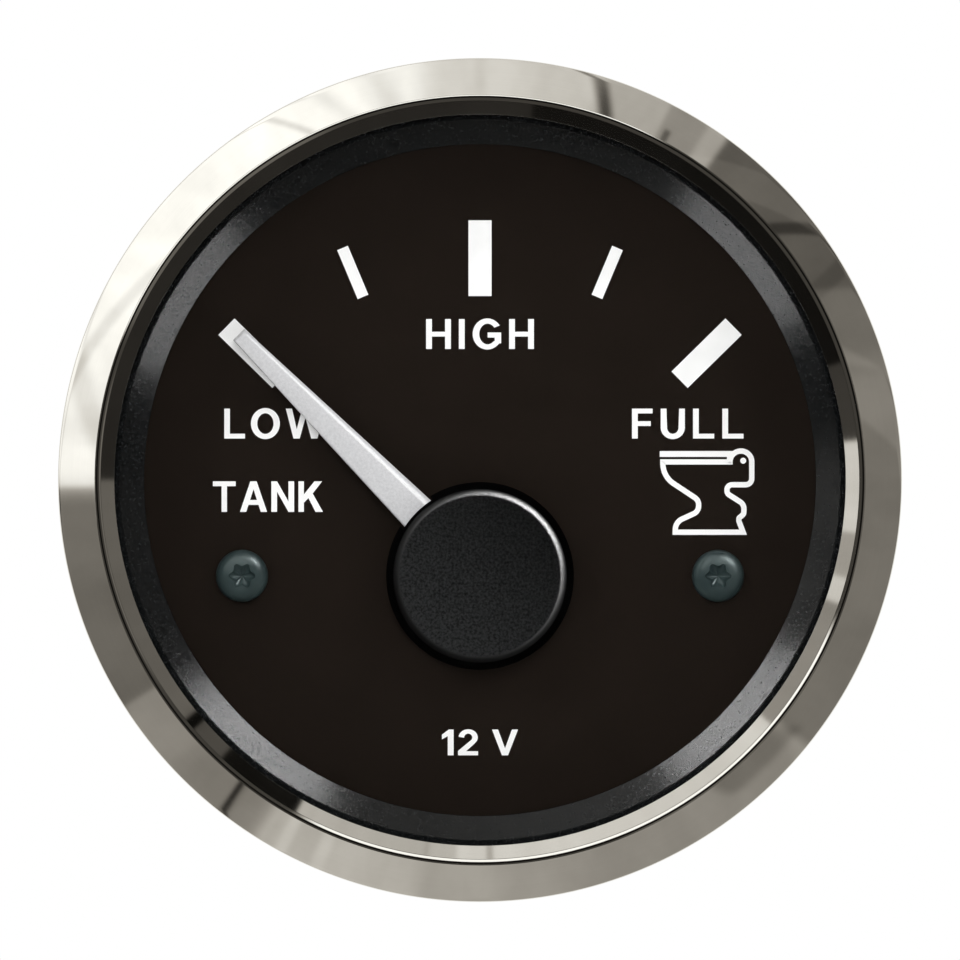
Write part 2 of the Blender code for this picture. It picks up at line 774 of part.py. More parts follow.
def make_carrier():
    """The front bobbin half: a plate with ears for the dial screws, the front bearing and a cup."""
    split_y = movement_y - seat_gap / 2
    cup_front = movement_y - bobbin_half_depth
    section = [
        (bearing_radius, carrier_front_y),
        (can_radius, carrier_front_y),
        (can_radius, carrier_back_y),
        (bearing_tube_radius, carrier_back_y),
        (bearing_tube_radius, cup_front),
        (bobbin_radius, cup_front),
        (bobbin_radius, split_y),
        (chamber_radius, split_y),
        (chamber_radius, cup_front + bobbin_wall),
        (bearing_radius, cup_front + bobbin_wall),
    ]
    carrier = turned("movement_carrier", section, bobbin_cream, movement_segments, at=pivot)
    joined = []
    for index, (x, z) in enumerate(screw_places()):
        arm_middle = (-x * carrier_arm_share / 2, 0.0)
        arm = box_outline(screw_offset * carrier_arm_share, 2 * carrier_ear_radius, arm_middle)
        joined.append(prism(f"carrier_arm_{index}", arm, carrier_front_y, carrier_back_y, bobbin_cream,
                            (x, 0.0, z)))
        joined.append(prism(f"carrier_ear_{index}", circle(carrier_ear_radius, shaft_segments),
                            carrier_front_y, carrier_back_y, bobbin_cream, (x, 0.0, z)))
    for side in (-1, 1):
        for level in (-1, 1):
            place = pivot + Vector((side * post_offset, 0.0, level * post_offset))
            joined.append(prism(f"carrier_post_{side}_{level}", circle(post_radius, pin_segments),
                                carrier_front_y + carrier_thickness / 2,
                                movement_y + bobbin_half_depth, bobbin_cream, place))
    for core in joined:
        combine(carrier, core, "UNION")
    through = (carrier_front_y - carrier_thickness, carrier_back_y + carrier_thickness)
    for x, z in screw_places():
        bore(carrier, screw_shank_radius + seat_gap, *through, hole_segments, (x, 0.0, z))
    for x, z in pin_places():
        bore(carrier, pin_radius + seat_gap, *through, pin_segments, (x, 0.0, z))


def make_rear_bobbin():
    """The rear bobbin half: a cup and the closed rear bearing."""
    split_y = movement_y + seat_gap / 2
    cup_back = movement_y + bobbin_half_depth
    section = [
        (0.0, bobbin_back_y),
        (bearing_tube_radius, bobbin_back_y),
        (bearing_tube_radius, cup_back),
        (bobbin_radius, cup_back),
        (bobbin_radius, split_y),
        (chamber_radius, split_y),
        (chamber_radius, cup_back - bobbin_wall),
        (bearing_radius, cup_back - bobbin_wall),
        (bearing_radius, bearing_end_y),
        (0.0, bearing_end_y),
    ]
    turned("rear_bobbin", section, bobbin_cream, movement_segments, closed=False, at=pivot)


def coil_mesh(half_height, half_depth, inner_height, inner_depth):
    """One winding: a rounded loop in the (z, y) plane, one coil_width thick along x."""
    bm = bmesh.new()
    rings = []
    for high, deep, corner in (
        (half_height, half_depth, coil_corner_round),
        (inner_height, inner_depth, coil_inner_corner_round),
    ):
        corners = [
            (-high, -deep, corner),
            (high, -deep, corner),
            (high, deep, corner),
            (-high, deep, corner),
        ]
        rings.append([bm.verts.new((-coil_width / 2, p.y, p.x)) for p in rounded(corners)])
    outer, inner = rings
    count = len(outer)
    flat = []
    for i in range(count):
        j = (i + 1) % count
        flat.append(bm.faces.new((outer[i], outer[j], inner[j], inner[i])))
    grown = bmesh.ops.extrude_face_region(bm, geom=flat)
    top = [v for v in grown["geom"] if isinstance(v, bmesh.types.BMVert)]
    bmesh.ops.translate(bm, verts=top, vec=(coil_width, 0.0, 0.0))
    return bm


def make_coils():
    """Four windings in two crossed pairs, each pair standing clear of the spindle's bearing tube."""
    centre = pivot + Vector((0.0, movement_y, 0.0))
    inner_hole = bobbin_half_depth + coil_clearance
    outer_hole = inner_coil_half_depth + coil_clearance
    for name, side in (("left", -1), ("right", 1)):
        bm = coil_mesh(coil_outer_half_height, inner_coil_half_depth, coil_inner_half_height, inner_hole)
        placed(f"inner_coil_{name}", bm, copper, centre + Vector((side * coil_offset, 0.0, 0.0)))
    for name, side in (("lower", -1), ("upper", 1)):
        bm = coil_mesh(coil_outer_half_height, outer_coil_half_depth, coil_inner_half_height, outer_hole)
        coil = placed(f"outer_coil_{name}", bm, copper, centre + Vector((0.0, 0.0, side * coil_offset)))
        coil.rotation_euler.y = math.radians(90)


def make_shield_can():
    """The steel cup that screens the coils, its mouth on the carrier plate."""
    section = [
        (0.0, can_back_y),
        (can_radius, can_back_y),
        (can_radius, can_front_y),
        (can_inner_radius, can_front_y),
        (can_inner_radius, can_inner_back_y),
        (0.0, can_inner_back_y),
    ]
    turned("shield_can", section, plated, inner_segments, closed=False, at=pivot)


def make_coil_pins():
    for index, (x, z) in enumerate(pin_places()):
        prism(f"coil_pin_{index + 1}", circle(pin_radius, pin_segments), board_front_y + seat_gap,
              board_front_y + seat_gap + pin_length, brass, (x, 0.0, z))


def hexagon(across_flats):
    return circle(across_flats / 2 / math.cos(math.pi / 6), 6)


def make_terminals():
    """Three threaded terminals that run from the board through the back, each with washer and nut."""
    stud_front = board_back_y + seat_gap
    collar_back = case_inner_back_y - seat_gap
    collar_front = collar_back - terminal_collar_thickness
    stud_end = terminal_boss_y + terminal_stud_reach
    washer_front = terminal_boss_y + seat_gap
    washer_back = washer_front + washer_thickness
    nut_front = washer_back + seat_gap
    thread = thread_radius
    stud = [
        (0.0, stud_front),
        (thread, stud_front),
        (thread, collar_front),
        (terminal_collar_radius, collar_front),
        (terminal_collar_radius, collar_back),
        (thread, collar_back),
        (thread, stud_end - thread_chamfer),
        (thread - thread_chamfer, stud_end),
        (0.0, stud_end),
    ]
    bore_radius = thread + thread_clearance
    washer = [
        (bore_radius, washer_front),
        (washer_radius, washer_front),
        (washer_radius, washer_back),
        (bore_radius, washer_back),
    ]
    for name, (x, z) in zip(("sender", "ground", "supply"), terminal_places()):
        place = (x, 0.0, z)
        turned(f"terminal_stud_{name}", stud, brass, shaft_segments, False, place)
        turned(f"terminal_washer_{name}", washer, plated, shaft_segments, True, place)
        nut = prism(f"terminal_nut_{name}", hexagon(nut_across_flats), nut_front,
                    nut_front + nut_thickness, brass, place)
        bore(nut, bore_radius, nut_front - nut_thickness, nut_front + 2 * nut_thickness, shaft_segments,
             place)
    for name, (x, z) in zip(("ground", "supply"), blade_places()):
        prism(f"lamp_blade_{name}", box_outline(blade_width, blade_thickness), stud_front,
              case_back_y + blade_reach, brass, (x, 0.0, z))


def make_clamp_studs():
    """Two long studs, headed inside the case, that the bracket slides on."""
    head_back = case_inner_back_y - seat_gap
    head_front = head_back - clamp_stud_head_thickness
    end = case_back_y + clamp_stud_length
    profile = [
        (0.0, head_front),
        (clamp_stud_head_radius, head_front),
        (clamp_stud_head_radius, head_back),
        (thread_radius, head_back),
        (thread_radius, end - thread_chamfer),
        (thread_radius - thread_chamfer, end),
        (0.0, end),
    ]
    for name, (x, z) in zip(("left", "right"), clamp_stud_places()):
        turned(f"clamp_stud_{name}", profile, plated, shaft_segments, False, (x, 0.0, z))


def make_clamp_bracket():
    """The U bracket: a folded strip whose feet press on the back of the panel."""
    half = bracket_sheet / 2
    leg_x = barrel_radius + bracket_side_clearance + half
    foot_y = foot_front_y + half
    bridge_y = bridge_front_y + half
    foot_x = barrel_radius + bracket_side_clearance + bracket_foot_reach
    bend = bracket_bend_radius + half
    folded = rounded(
        [
            (foot_x, foot_y, 0.0),
            (leg_x, foot_y, bend),
            (leg_x, bridge_y, bend),
            (-leg_x, bridge_y, bend),
            (-leg_x, foot_y, bend),
            (-foot_x, foot_y, 0.0),
        ],
        steps=3,
    )
    bm = bmesh.new()
    outline = strip(folded, bracket_sheet)
    face = bm.faces.new([bm.verts.new((p.x, p.y, -bracket_width / 2)) for p in outline])
    grown = bmesh.ops.extrude_face_region(bm, geom=[face])
    top = [v for v in grown["geom"] if isinstance(v, bmesh.types.BMVert)]
    bmesh.ops.translate(bm, verts=top, vec=(0.0, 0.0, bracket_width))
    bracket = placed("clamp_bracket", bm, plated)
    for x, z in clamp_stud_places():
        bore(bracket, thread_radius + bracket_hole_clearance, bridge_front_y - bracket_sheet,
             bridge_back_y + bracket_sheet, shaft_segments, (x, 0.0, z))


def make_thumb_nuts():
    """Fluted nuts, turned by hand, that drive the bracket towards the panel."""
    collar_front = bridge_back_y + seat_gap
    head_front = collar_front + thumb_nut_collar_height
    head_back = head_front + thumb_nut_thickness
    points = points_per_flute * thumb_nut_flutes
    radii = [
        thumb_nut_radius - (thumb_nut_flute_depth if i % points_per_flute < points_per_flute / 2 else 0.0)
        for i in range(points)
    ]
    flutes = [Matrix.Rotation(math.tau * i / points, 2) @ Vector((radius, 0.0))
              for i, radius in enumerate(radii)]
    for name, (x, z) in zip(("left", "right"), clamp_stud_places()):
        place = (x, 0.0, z)
        nut = prism(f"thumb_nut_{name}", flutes, head_front, head_back, plated, place)
        collar = prism(f"thumb_nut_collar_{name}", circle(thumb_nut_collar_radius, boss_segments),
                       collar_front, head_front + thumb_nut_thickness / 2, plated, place)
        combine(nut, collar, "UNION")
        bore(nut, thread_radius + thread_clearance, collar_front - thumb_nut_thickness,
             head_back + thumb_nut_thickness, shaft_segments, place)


clear_scene()
make_bezel()
make_lens_pack()
make_case()
make_panel_gasket()
make_dial()
make_scale_marks()
make_dial_screws()
make_pointer()
make_light_box()
make_board()
make_carrier()
make_rear_bobbin()
make_coils()
make_shield_can()
make_coil_pins()
make_terminals()
make_clamp_studs()
make_clamp_bracket()
make_thumb_nuts()
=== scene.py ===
from math import cos, pi, radians, sin, tan, tau

import bmesh
import bpy
from mathutils import Matrix, Vector


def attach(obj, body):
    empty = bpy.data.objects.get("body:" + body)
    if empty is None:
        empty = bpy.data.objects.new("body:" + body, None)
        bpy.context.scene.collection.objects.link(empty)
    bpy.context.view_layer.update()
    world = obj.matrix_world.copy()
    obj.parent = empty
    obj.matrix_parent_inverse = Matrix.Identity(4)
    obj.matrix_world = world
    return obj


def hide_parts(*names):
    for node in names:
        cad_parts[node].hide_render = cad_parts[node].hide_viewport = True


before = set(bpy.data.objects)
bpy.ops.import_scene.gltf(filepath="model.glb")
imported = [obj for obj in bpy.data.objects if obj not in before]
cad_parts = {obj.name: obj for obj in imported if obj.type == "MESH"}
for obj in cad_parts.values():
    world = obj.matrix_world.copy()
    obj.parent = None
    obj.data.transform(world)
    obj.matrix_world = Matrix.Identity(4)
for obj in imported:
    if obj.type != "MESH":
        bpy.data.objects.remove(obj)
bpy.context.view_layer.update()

scene = bpy.context.scene
scene.view_settings.view_transform = "Standard"

# Camera: square on to the dial from far off, so that the bezel fills the same part of the
# picture as in the photograph and the deeper parts of the gauge hardly shrink.
camera_distance = 2.4
bezel_edge_y = -0.0086
picture_width = 0.07052
camera = bpy.data.objects.new("camera", bpy.data.cameras.new("camera"))
camera.data.sensor_fit = "HORIZONTAL"
camera.data.sensor_width = 36.0
camera.data.lens = camera.data.sensor_width * (camera_distance + bezel_edge_y) / picture_width
camera.data.clip_start = 0.1
camera.data.clip_end = 20.0
camera.location = (0.0, -camera_distance, 0.0)
camera.rotation_euler = (radians(90), 0.0, 0.0)
scene.collection.objects.link(camera)
scene.camera = camera


def put(tree, kind, feeds=None, **settings):
    """Adds a node; feeds maps its inputs to a value or to another node's output."""
    made = tree.nodes.new(kind)
    for key, value in settings.items():
        setattr(made, key, value)
    for key, value in (feeds or {}).items():
        if isinstance(value, bpy.types.NodeSocket):
            tree.links.new(value, made.inputs[key])
        else:
            made.inputs[key].default_value = value
    return made


def reckon(tree, operation, *values):
    """The output of a maths node of these values or sockets."""
    return put(tree, "ShaderNodeMath", dict(enumerate(values)), operation=operation).outputs[0]


def ranged(tree, value, low, high, to_low=0.0, to_high=1.0, kind="LINEAR"):
    """A value carried over from one range to another."""
    feeds = {"Value": value, "From Min": low, "From Max": high, "To Min": to_low, "To Max": to_high}
    return put(tree, "ShaderNodeMapRange", feeds, interpolation_type=kind).outputs[0]


def blended(tree, factor, first, second):
    """A colour between two, each given as a socket or as red, green and blue."""
    feeds = {"Factor": factor}
    for key, colour in (("A", first), ("B", second)):
        feeds[key] = colour if isinstance(colour, bpy.types.NodeSocket) else (*colour, 1.0)
    return put(tree, "ShaderNodeMix", feeds, data_type="RGBA").outputs["Result"]


def group(name, inputs, outputs):
    """A shader node group with named sockets, and its input and output nodes."""
    tree = bpy.data.node_groups.new(name, "ShaderNodeTree")
    for socket_name, kind, value in inputs:
        socket = tree.interface.new_socket(socket_name, in_out="INPUT", socket_type=kind)
        if value is not None:
            socket.default_value = value
    for socket_name, kind in outputs:
        tree.interface.new_socket(socket_name, in_out="OUTPUT", socket_type=kind)
    return tree, tree.nodes.new("NodeGroupInput").outputs, tree.nodes.new("NodeGroupOutput").inputs


# Studio: a white room for the camera. What the metal and the glass mirror is a dark middle with
# soft cards round it, each given by its angle round the gauge and its angle off the gauge's axis.
card, given, result = group(
    "studio_card",
    [
        ("Before", "NodeSocketFloat", 0.0),
        ("Round", "NodeSocketFloat", 0.0),
        ("Off Axis", "NodeSocketFloat", 0.0),
        ("Centre", "NodeSocketFloat", 0.0),
        ("Half", "NodeSocketFloat", 0.5),
        ("Side Softness", "NodeSocketFloat", 0.02),
        ("Lean", "NodeSocketFloat", 0.0),
        ("Front", "NodeSocketFloat", 1.0),
        ("Back", "NodeSocketFloat", 1.5),
        ("End Softness", "NodeSocketFloat", 0.03),
        ("Strength", "NodeSocketFloat", 1.0),
    ],
    [("Light", "NodeSocketFloat")],
)
lean_from = radians(77)
past_cone = reckon(card, "SUBTRACT", given["Off Axis"], lean_from)
leaning = reckon(card, "MULTIPLY_ADD", past_cone, given["Lean"], given["Centre"])
near = reckon(card, "WRAP", reckon(card, "SUBTRACT", given["Round"], leaning), pi, -pi)
inside = reckon(card, "SUBTRACT", given["Half"], reckon(card, "ABSOLUTE", near))
past_front = reckon(card, "SUBTRACT", given["Off Axis"], given["Front"])
before_back = reckon(card, "SUBTRACT", given["Back"], given["Off Axis"])
lit = given["Strength"]
for edge, softness in ((inside, "Side Softness"), (past_front, "End Softness"),
                       (before_back, "End Softness")):
    start = reckon(card, "MULTIPLY", given[softness], -0.5)
    full = reckon(card, "MULTIPLY", given[softness], 0.5)
    lit = reckon(card, "MULTIPLY", lit, ranged(card, edge, start, full, kind="SMOOTHSTEP"))
card.links.new(reckon(card, "ADD", given["Before"], lit), result["Light"])

world = bpy.data.worlds.new("studio")
scene.world = world
world.use_nodes = True
world.cycles.sampling_method = "NONE"
air = world.node_tree
air.nodes.clear()
heading = put(air, "ShaderNodeTexCoord").outputs["Generated"]
parts_of_heading = put(air, "ShaderNodeSeparateXYZ", {0: heading})
off_axis = reckon(air, "ARCCOSINE", reckon(air, "MULTIPLY", parts_of_heading.outputs[1], -1.0))
round_axis = reckon(air, "ARCTAN2", parts_of_heading.outputs[2], parts_of_heading.outputs[0])

# Each list of cards shares its front and back angle off axis and the softness of those ends. A card
# has its angle round from +X, half width, softness of its sides, lean and strength, which is below
# zero for a dark flag. Angles are in degrees.
cards = [
    # mirrored in the cone: the big soft box, upper left, in steps, and what hangs before it; then
    # from lower left to lower right a second, weaker box and the room's own things
    ((69.5, 98, 2), [
        (117.5, 63.5, 1.2, 0.0, 0.19),
        (122.0, 59.0, 1.0, 0.0, 0.15),
        (127.0, 54.0, 3.0, 0.0, 0.14),
        (139.5, 41.5, 6.0, 0.0, 0.26),
        (132.0, 38.0, 60.0, 0.0, 0.32),
        (178.0, 3.2, 4.0, 0.0, 0.10),
        (55.6, 1.5, 1.0, 0.0, 0.11),
        (72.0, 1.1, 1.6, 0.22, -0.40),
        (90.0, 0.8, 1.6, 0.0, -0.06),
        (104.0, 2.0, 4.0, 0.1, -0.20),
        (111.0, 1.2, 2.5, 0.3, -0.18),
        (117.8, 0.6, 1.1, 0.42, -0.36),
        (155.0, 3.0, 4.0, 1.6, -0.22),
        (169.0, 3.4, 4.5, -0.8, -0.20),
        (12.5, 5.5, 1.5, -0.46, 0.055),
        (22.5, 6.0, 1.5, -0.2, 0.055),
        (29.8, 1.3, 0.8, 0.1, -0.030),
        (39.0, 1.1, 0.8, -0.35, -0.075),
        (47.5, 5.5, 1.0, -1.0, 0.035),
        (198.0, 14.0, 12.0, 0.0, 0.040),
        (222.0, 9.5, 0.9, 0.0, 0.110),
        (218.5, 5.0, 6.0, 0.0, 0.050),
        (232.0, 0.5, 0.6, 0.05, -0.13),
        (235.5, 3.0, 2.5, 0.0, 0.125),
        (279.5, 41.5, 2.0, 0.0, 0.170),
        (262.0, 24.0, 10.0, 0.0, 0.055),
        (256.0, 18.0, 10.0, 0.0, 0.060),
        (249.2, 12.0, 3.0, 0.0, 0.105),
        (241.6, 0.8, 1.0, 0.0, 0.100),
        (247.0, 0.9, 1.2, 0.0, 0.100),
        (348.5, 28.5, 6.0, 0.0, 0.070),
    ]),
    ((69.5, 76, 2), [(61.7, 0.5, 0.5, 0.0, -0.20)]),
    ((69.5, 78.5, 4), [(315.0, 6.6, 2.5, 0.3, -0.100)]),
    # mirrored in the lip, which looks across the gauge
    ((64.6, 68.2, 0.6), [
        (123.5, 62.5, 1.0, 0.0, 0.69),
        (150.5, 10.5, 1.0, 0.0, -0.42),
        (168.5, 3.5, 1.0, 0.0, -0.30),
        (84.0, 2.4, 1.0, 0.0, -0.16),
        (91.5, 0.5, 0.6, 0.0, -0.26),
        (71.0, 11.0, 1.0, 0.0, -0.19),
        (19.5, 19.5, 1.0, 0.0, 0.125),
        (40.2, 0.8, 0.6, 0.0, -0.04),
        (44.0, 3.0, 1.0, 0.0, 0.070),
        (192.0, 6.0, 1.0, 0.0, 0.040),
        (311.0, 49.0, 1.0, 0.0, 0.016),
    ]),
    # mirrored in the round of the crest: the dim room, and the big soft box as a thin bright line
    ((14, 61, 5), [(0.0, 185.0, 1.0, 0.0, 0.045)]),
    ((21, 58, 5), [(110.0, 47.0, 6.0, 0.0, 1.08)]),
    ((38, 61, 8), [(8.0, 22.0, 10.0, 0.0, 0.100)]),
    ((14, 61, 5), [(315.0, 21.0, 8.0, 0.0, 0.080)]),
]
light = 0.0
for (front, back, end_soft), row in [(ends, row) for ends, rows in cards for row in rows]:
    centre, half, soft, lean, strength = row
    angles = {"Centre": centre, "Half": half, "Side Softness": soft, "Front": front, "Back": back,
              "End Softness": end_soft}
    light = put(air, "ShaderNodeGroup", {
        "Before": light, "Round": round_axis, "Off Axis": off_axis, "Lean": lean, "Strength": strength,
        **{name: radians(degrees) for name, degrees in angles.items()},
    }, node_tree=card).outputs["Light"]
rim = ranged(air, off_axis, radians(69), radians(70.5), 0.006, 0.115)
hanging = put(air, "ShaderNodeMapping", {"Vector": heading, "Scale": (1.0, 0.12, 1.0)})
folds = put(air, "ShaderNodeTexNoise", {"Vector": hanging.outputs[0], "Scale": 9.0, "Detail": 4.0,
                                        "Roughness": 0.6})
fold_shade = ranged(air, folds.outputs["Fac"], 0.34, 0.64, 0.98, 1.13)
folded = reckon(air, "MULTIPLY", reckon(air, "ADD", light, rim), fold_shade)
darkest = 0.002
studio_light = reckon(air, "MAXIMUM", folded, darkest)
behind = ranged(air, off_axis, radians(98), radians(110), kind="SMOOTHSTEP")
behind_light = 0.86
mirrored_light = put(air, "ShaderNodeMix", {0: behind, 2: studio_light, 3: behind_light}).outputs[0]
warmth = blended(air, mirrored_light, (1.0, 0.915, 0.79), (1.0, 0.99, 0.95))
mirrored = put(air, "ShaderNodeBackground", {"Color": warmth, "Strength": mirrored_light})
ambient = put(air, "ShaderNodeBackground", {"Color": (1.0, 1.0, 1.0, 1.0), "Strength": 0.36})
white_room = put(air, "ShaderNodeBackground", {"Color": (1.0, 1.0, 1.0, 1.0), "Strength": 1.0})
ray = put(air, "ShaderNodeLightPath").outputs
through_or_off = reckon(air, "MAXIMUM", ray["Is Glossy Ray"], ray["Is Transmission Ray"])
seen_in_metal = put(air, "ShaderNodeMixShader", {0: through_or_off, 1: ambient.outputs[0],
                                                2: mirrored.outputs[0]})
seen = put(air, "ShaderNodeMixShader", {0: ray["Is Camera Ray"], 1: seen_in_metal.outputs[0],
                                        2: white_room.outputs[0]})
put(air, "ShaderNodeOutputWorld", {"Surface": seen.outputs[0]})

# Lamps: a soft box over the camera and four round it, the upper two stronger, as small products
# are lit. What the metal mirrors of them is among the studio's cards.
lamp_reach = 0.5


def soft_box(name, angle, tilt, watts, size):
    """A round lamp that faces the gauge, by its angle round the gauge and its tilt off the axis."""
    lamp = bpy.data.objects.new(f"lamp_{name}", bpy.data.lights.new(f"lamp_{name}", "AREA"))
    lamp.data.shape = "DISK"
    lamp.data.size = size
    lamp.data.energy = watts
    out = Vector((
        sin(radians(tilt)) * cos(radians(angle)),
        -cos(radians(tilt)),
        sin(radians(tilt)) * sin(radians(angle)),
    ))
    lamp.location = out * lamp_reach
    lamp.rotation_euler = out.to_track_quat("Z", "Y").to_euler()
    lamp.visible_camera = False
    scene.collection.objects.link(lamp)
    return lamp


for name, angle, tilt, watts, size in (
    ("front", 90, 16, 0.86, 0.24),
    ("upper_right", 50, 57, 0.54, 0.20),
    ("upper_left", 135, 57, 0.50, 0.18),
    ("lower_left", 221, 57, 0.24, 0.18),
    ("lower_right", 322, 57, 0.24, 0.18),
):
    soft_box(name, angle, tilt, watts, size).visible_glossy = False

# Floor: a pale sheet under the gauge that takes its shadow and fades out at its rim.
floor_drop = -0.060
floor_half = 0.60
bm = bmesh.new()
bmesh.ops.create_grid(bm, x_segments=12, y_segments=12, size=floor_half)
floor_mesh = bpy.data.meshes.new("floor")
bm.to_mesh(floor_mesh)
bm.free()
floor = bpy.data.objects.new("floor", floor_mesh)
floor.location = (0.0, 0.0, floor_drop)
floor.visible_glossy = False
floor.visible_shadow = False
scene.collection.objects.link(floor)
paper = bpy.data.materials.new("floor_paper")
paper.use_nodes = True
sheet_tree = paper.node_tree
paper_shader = sheet_tree.nodes["Principled BSDF"]
paper_shader.inputs["Roughness"].default_value = 0.9
paper_shader.inputs["Specular IOR Level"].default_value = 0.1
here = put(sheet_tree, "ShaderNodeTexCoord").outputs["Object"]
fibre = put(sheet_tree, "ShaderNodeTexNoise", {"Vector": here, "Scale": 900.0, "Detail": 4.0})
paper_tone = blended(sheet_tree, fibre.outputs["Fac"], (0.90, 0.90, 0.90), (0.95, 0.95, 0.95))
sheet_tree.links.new(paper_tone, paper_shader.inputs["Base Color"])
spread = put(sheet_tree, "ShaderNodeVectorMath", {0: here}, operation="LENGTH")
edge_fade = ranged(sheet_tree, spread.outputs["Value"], 0.10, 0.55, 1.0, 0.0, "SMOOTHSTEP")
sheet_tree.links.new(edge_fade, paper_shader.inputs["Alpha"])
floor_mesh.materials.append(paper)


# Bezel: one ring of polished stainless sheet, spun to shape and rolled over the head of the case.
# Its cone is slightly crowned, and the last polish leaves very fine lines round it.
mm = 0.001
pivot_z = -7.05


def rounded(corners, steps=6, hold=0.0):
    """A closed outline from (u, v, round) corners, with an arc wherever round isn't zero.

    Points that far past an arc's ends keep the flats beside it flat to the eye."""
    outline = []
    for index, (u, v, radius) in enumerate(corners):
        corner = Vector((u, v))
        if radius <= 0:
            outline.append(corner)
            continue
        before = (Vector(corners[index - 1][:2]) - corner).normalized()
        after = (Vector(corners[(index + 1) % len(corners)][:2]) - corner).normalized()
        half = before.angle(after) / 2
        centre = corner + (before + after).normalized() * (radius / sin(half))
        first = corner + before * (radius / tan(half)) - centre
        last = corner + after * (radius / tan(half)) - centre
        sweep = first.angle_signed(last)
        if hold:
            outline.append(centre + first + before * hold)
        for step in range(steps + 1):
            outline.append(centre + Matrix.Rotation(-sweep * step / steps, 2) @ first)
        if hold:
            outline.append(centre + last + after * hold)
    return outline


def as_piece(name, bm, finish, body, stands_for=(), smooth_below=32):
    """Makes a closed mesh into a piece: faces outwards, smooth where it is round, on its body."""
    bmesh.ops.remove_doubles(bm, verts=bm.verts, dist=1e-7)
    bmesh.ops.recalc_face_normals(bm, faces=bm.faces)
    mesh = bpy.data.meshes.new(name)
    bm.to_mesh(mesh)
    bm.free()
    mesh.shade_smooth()
    mesh.set_sharp_from_angle(angle=radians(smooth_below))
    mesh.materials.append(finish)
    piece = bpy.data.objects.new(name, mesh)
    scene.collection.objects.link(piece)
    if body:
        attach(piece, body)
    if stands_for:
        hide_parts(*stands_for)
    return piece


def skin(rings, closed=False):
    """Faces between rings of equal count, in metres. An open stack is capped at both ends."""
    bm = bmesh.new()
    loops = [[bm.verts.new(point) for point in ring] for ring in rings]
    pairs = list(zip(loops, loops[1:]))
    if closed:
        pairs.append((loops[-1], loops[0]))
    for lower, upper in pairs:
        for i in range(len(lower)):
            j = (i + 1) % len(lower)
            bm.faces.new((lower[i], lower[j], upper[j], upper[i]))
    if not closed:
        bm.faces.new(loops[0])
        bm.faces.new(loops[-1])
    return bm


def around(at, radius, angle, y):
    """A point in metres, out from an (x, z) place in millimetres at an angle from +X and a depth."""
    return ((at[0] + radius * cos(angle)) * mm, y * mm, (at[1] + radius * sin(angle)) * mm)


def turned(profile, segments, closed=True, at=(0.0, 0.0)):
    """A mesh turned about Y from (radius, y) points in millimetres, round (x, z) in millimetres."""
    return skin([[around(at, radius, tau * i / segments, y) for i in range(segments)]
                 for radius, y in profile], closed)


turning, given, result = group(
    "turning_marks",
    [("Centre", "NodeSocketVector", None), ("Lines", "NodeSocketFloat", 9000.0)],
    [("Height", "NodeSocketFloat"), ("Tone", "NodeSocketFloat")],
)
here = put(turning, "ShaderNodeTexCoord").outputs["Object"]
moved = put(turning, "ShaderNodeVectorMath", {0: here, 1: given["Centre"]}, operation="SUBTRACT")
split = put(turning, "ShaderNodeSeparateXYZ", {0: moved.outputs[0]})
flat = put(turning, "ShaderNodeCombineXYZ", {0: split.outputs[0], 2: split.outputs[2]})
reach = put(turning, "ShaderNodeVectorMath", {0: flat.outputs[0]}, operation="LENGTH")
section_place = put(turning, "ShaderNodeCombineXYZ", {0: reach.outputs["Value"], 1: split.outputs[1]})
lines = put(turning, "ShaderNodeTexNoise", {"Vector": section_place.outputs[0], "Scale": given["Lines"],
                                            "Detail": 3.0, "Roughness": 0.6})
patches = put(turning, "ShaderNodeTexNoise", {"Vector": moved.outputs[0], "Scale": 220.0, "Detail": 2.0})
turning.links.new(lines.outputs["Fac"], result["Height"])
turning.links.new(reckon(turning, "MULTIPLY", lines.outputs["Fac"], patches.outputs["Fac"]), result["Tone"])

grain, given, result = group(
    "surface_grain",
    [("Scale", "NodeSocketFloat", 4000.0), ("Drift", "NodeSocketFloat", 120.0)],
    [("Height", "NodeSocketFloat"), ("Tone", "NodeSocketFloat")],
)
here = put(grain, "ShaderNodeTexCoord").outputs["Object"]
fine = put(grain, "ShaderNodeTexNoise", {"Vector": here, "Scale": given["Scale"], "Detail": 4.0,
                                         "Roughness": 0.65})
coarser = reckon(grain, "MULTIPLY", given["Scale"], 0.45)
broad = put(grain, "ShaderNodeTexNoise", {"Vector": here, "Scale": coarser, "Detail": 2.0})
both = reckon(grain, "MULTIPLY_ADD", broad.outputs["Fac"], 0.8, fine.outputs["Fac"])
clouds = put(grain, "ShaderNodeTexNoise", {"Vector": here, "Scale": given["Drift"], "Detail": 3.0})
grain.links.new(both, result["Height"])
grain.links.new(ranged(grain, clouds.outputs["Fac"], 0.32, 0.68), result["Tone"])


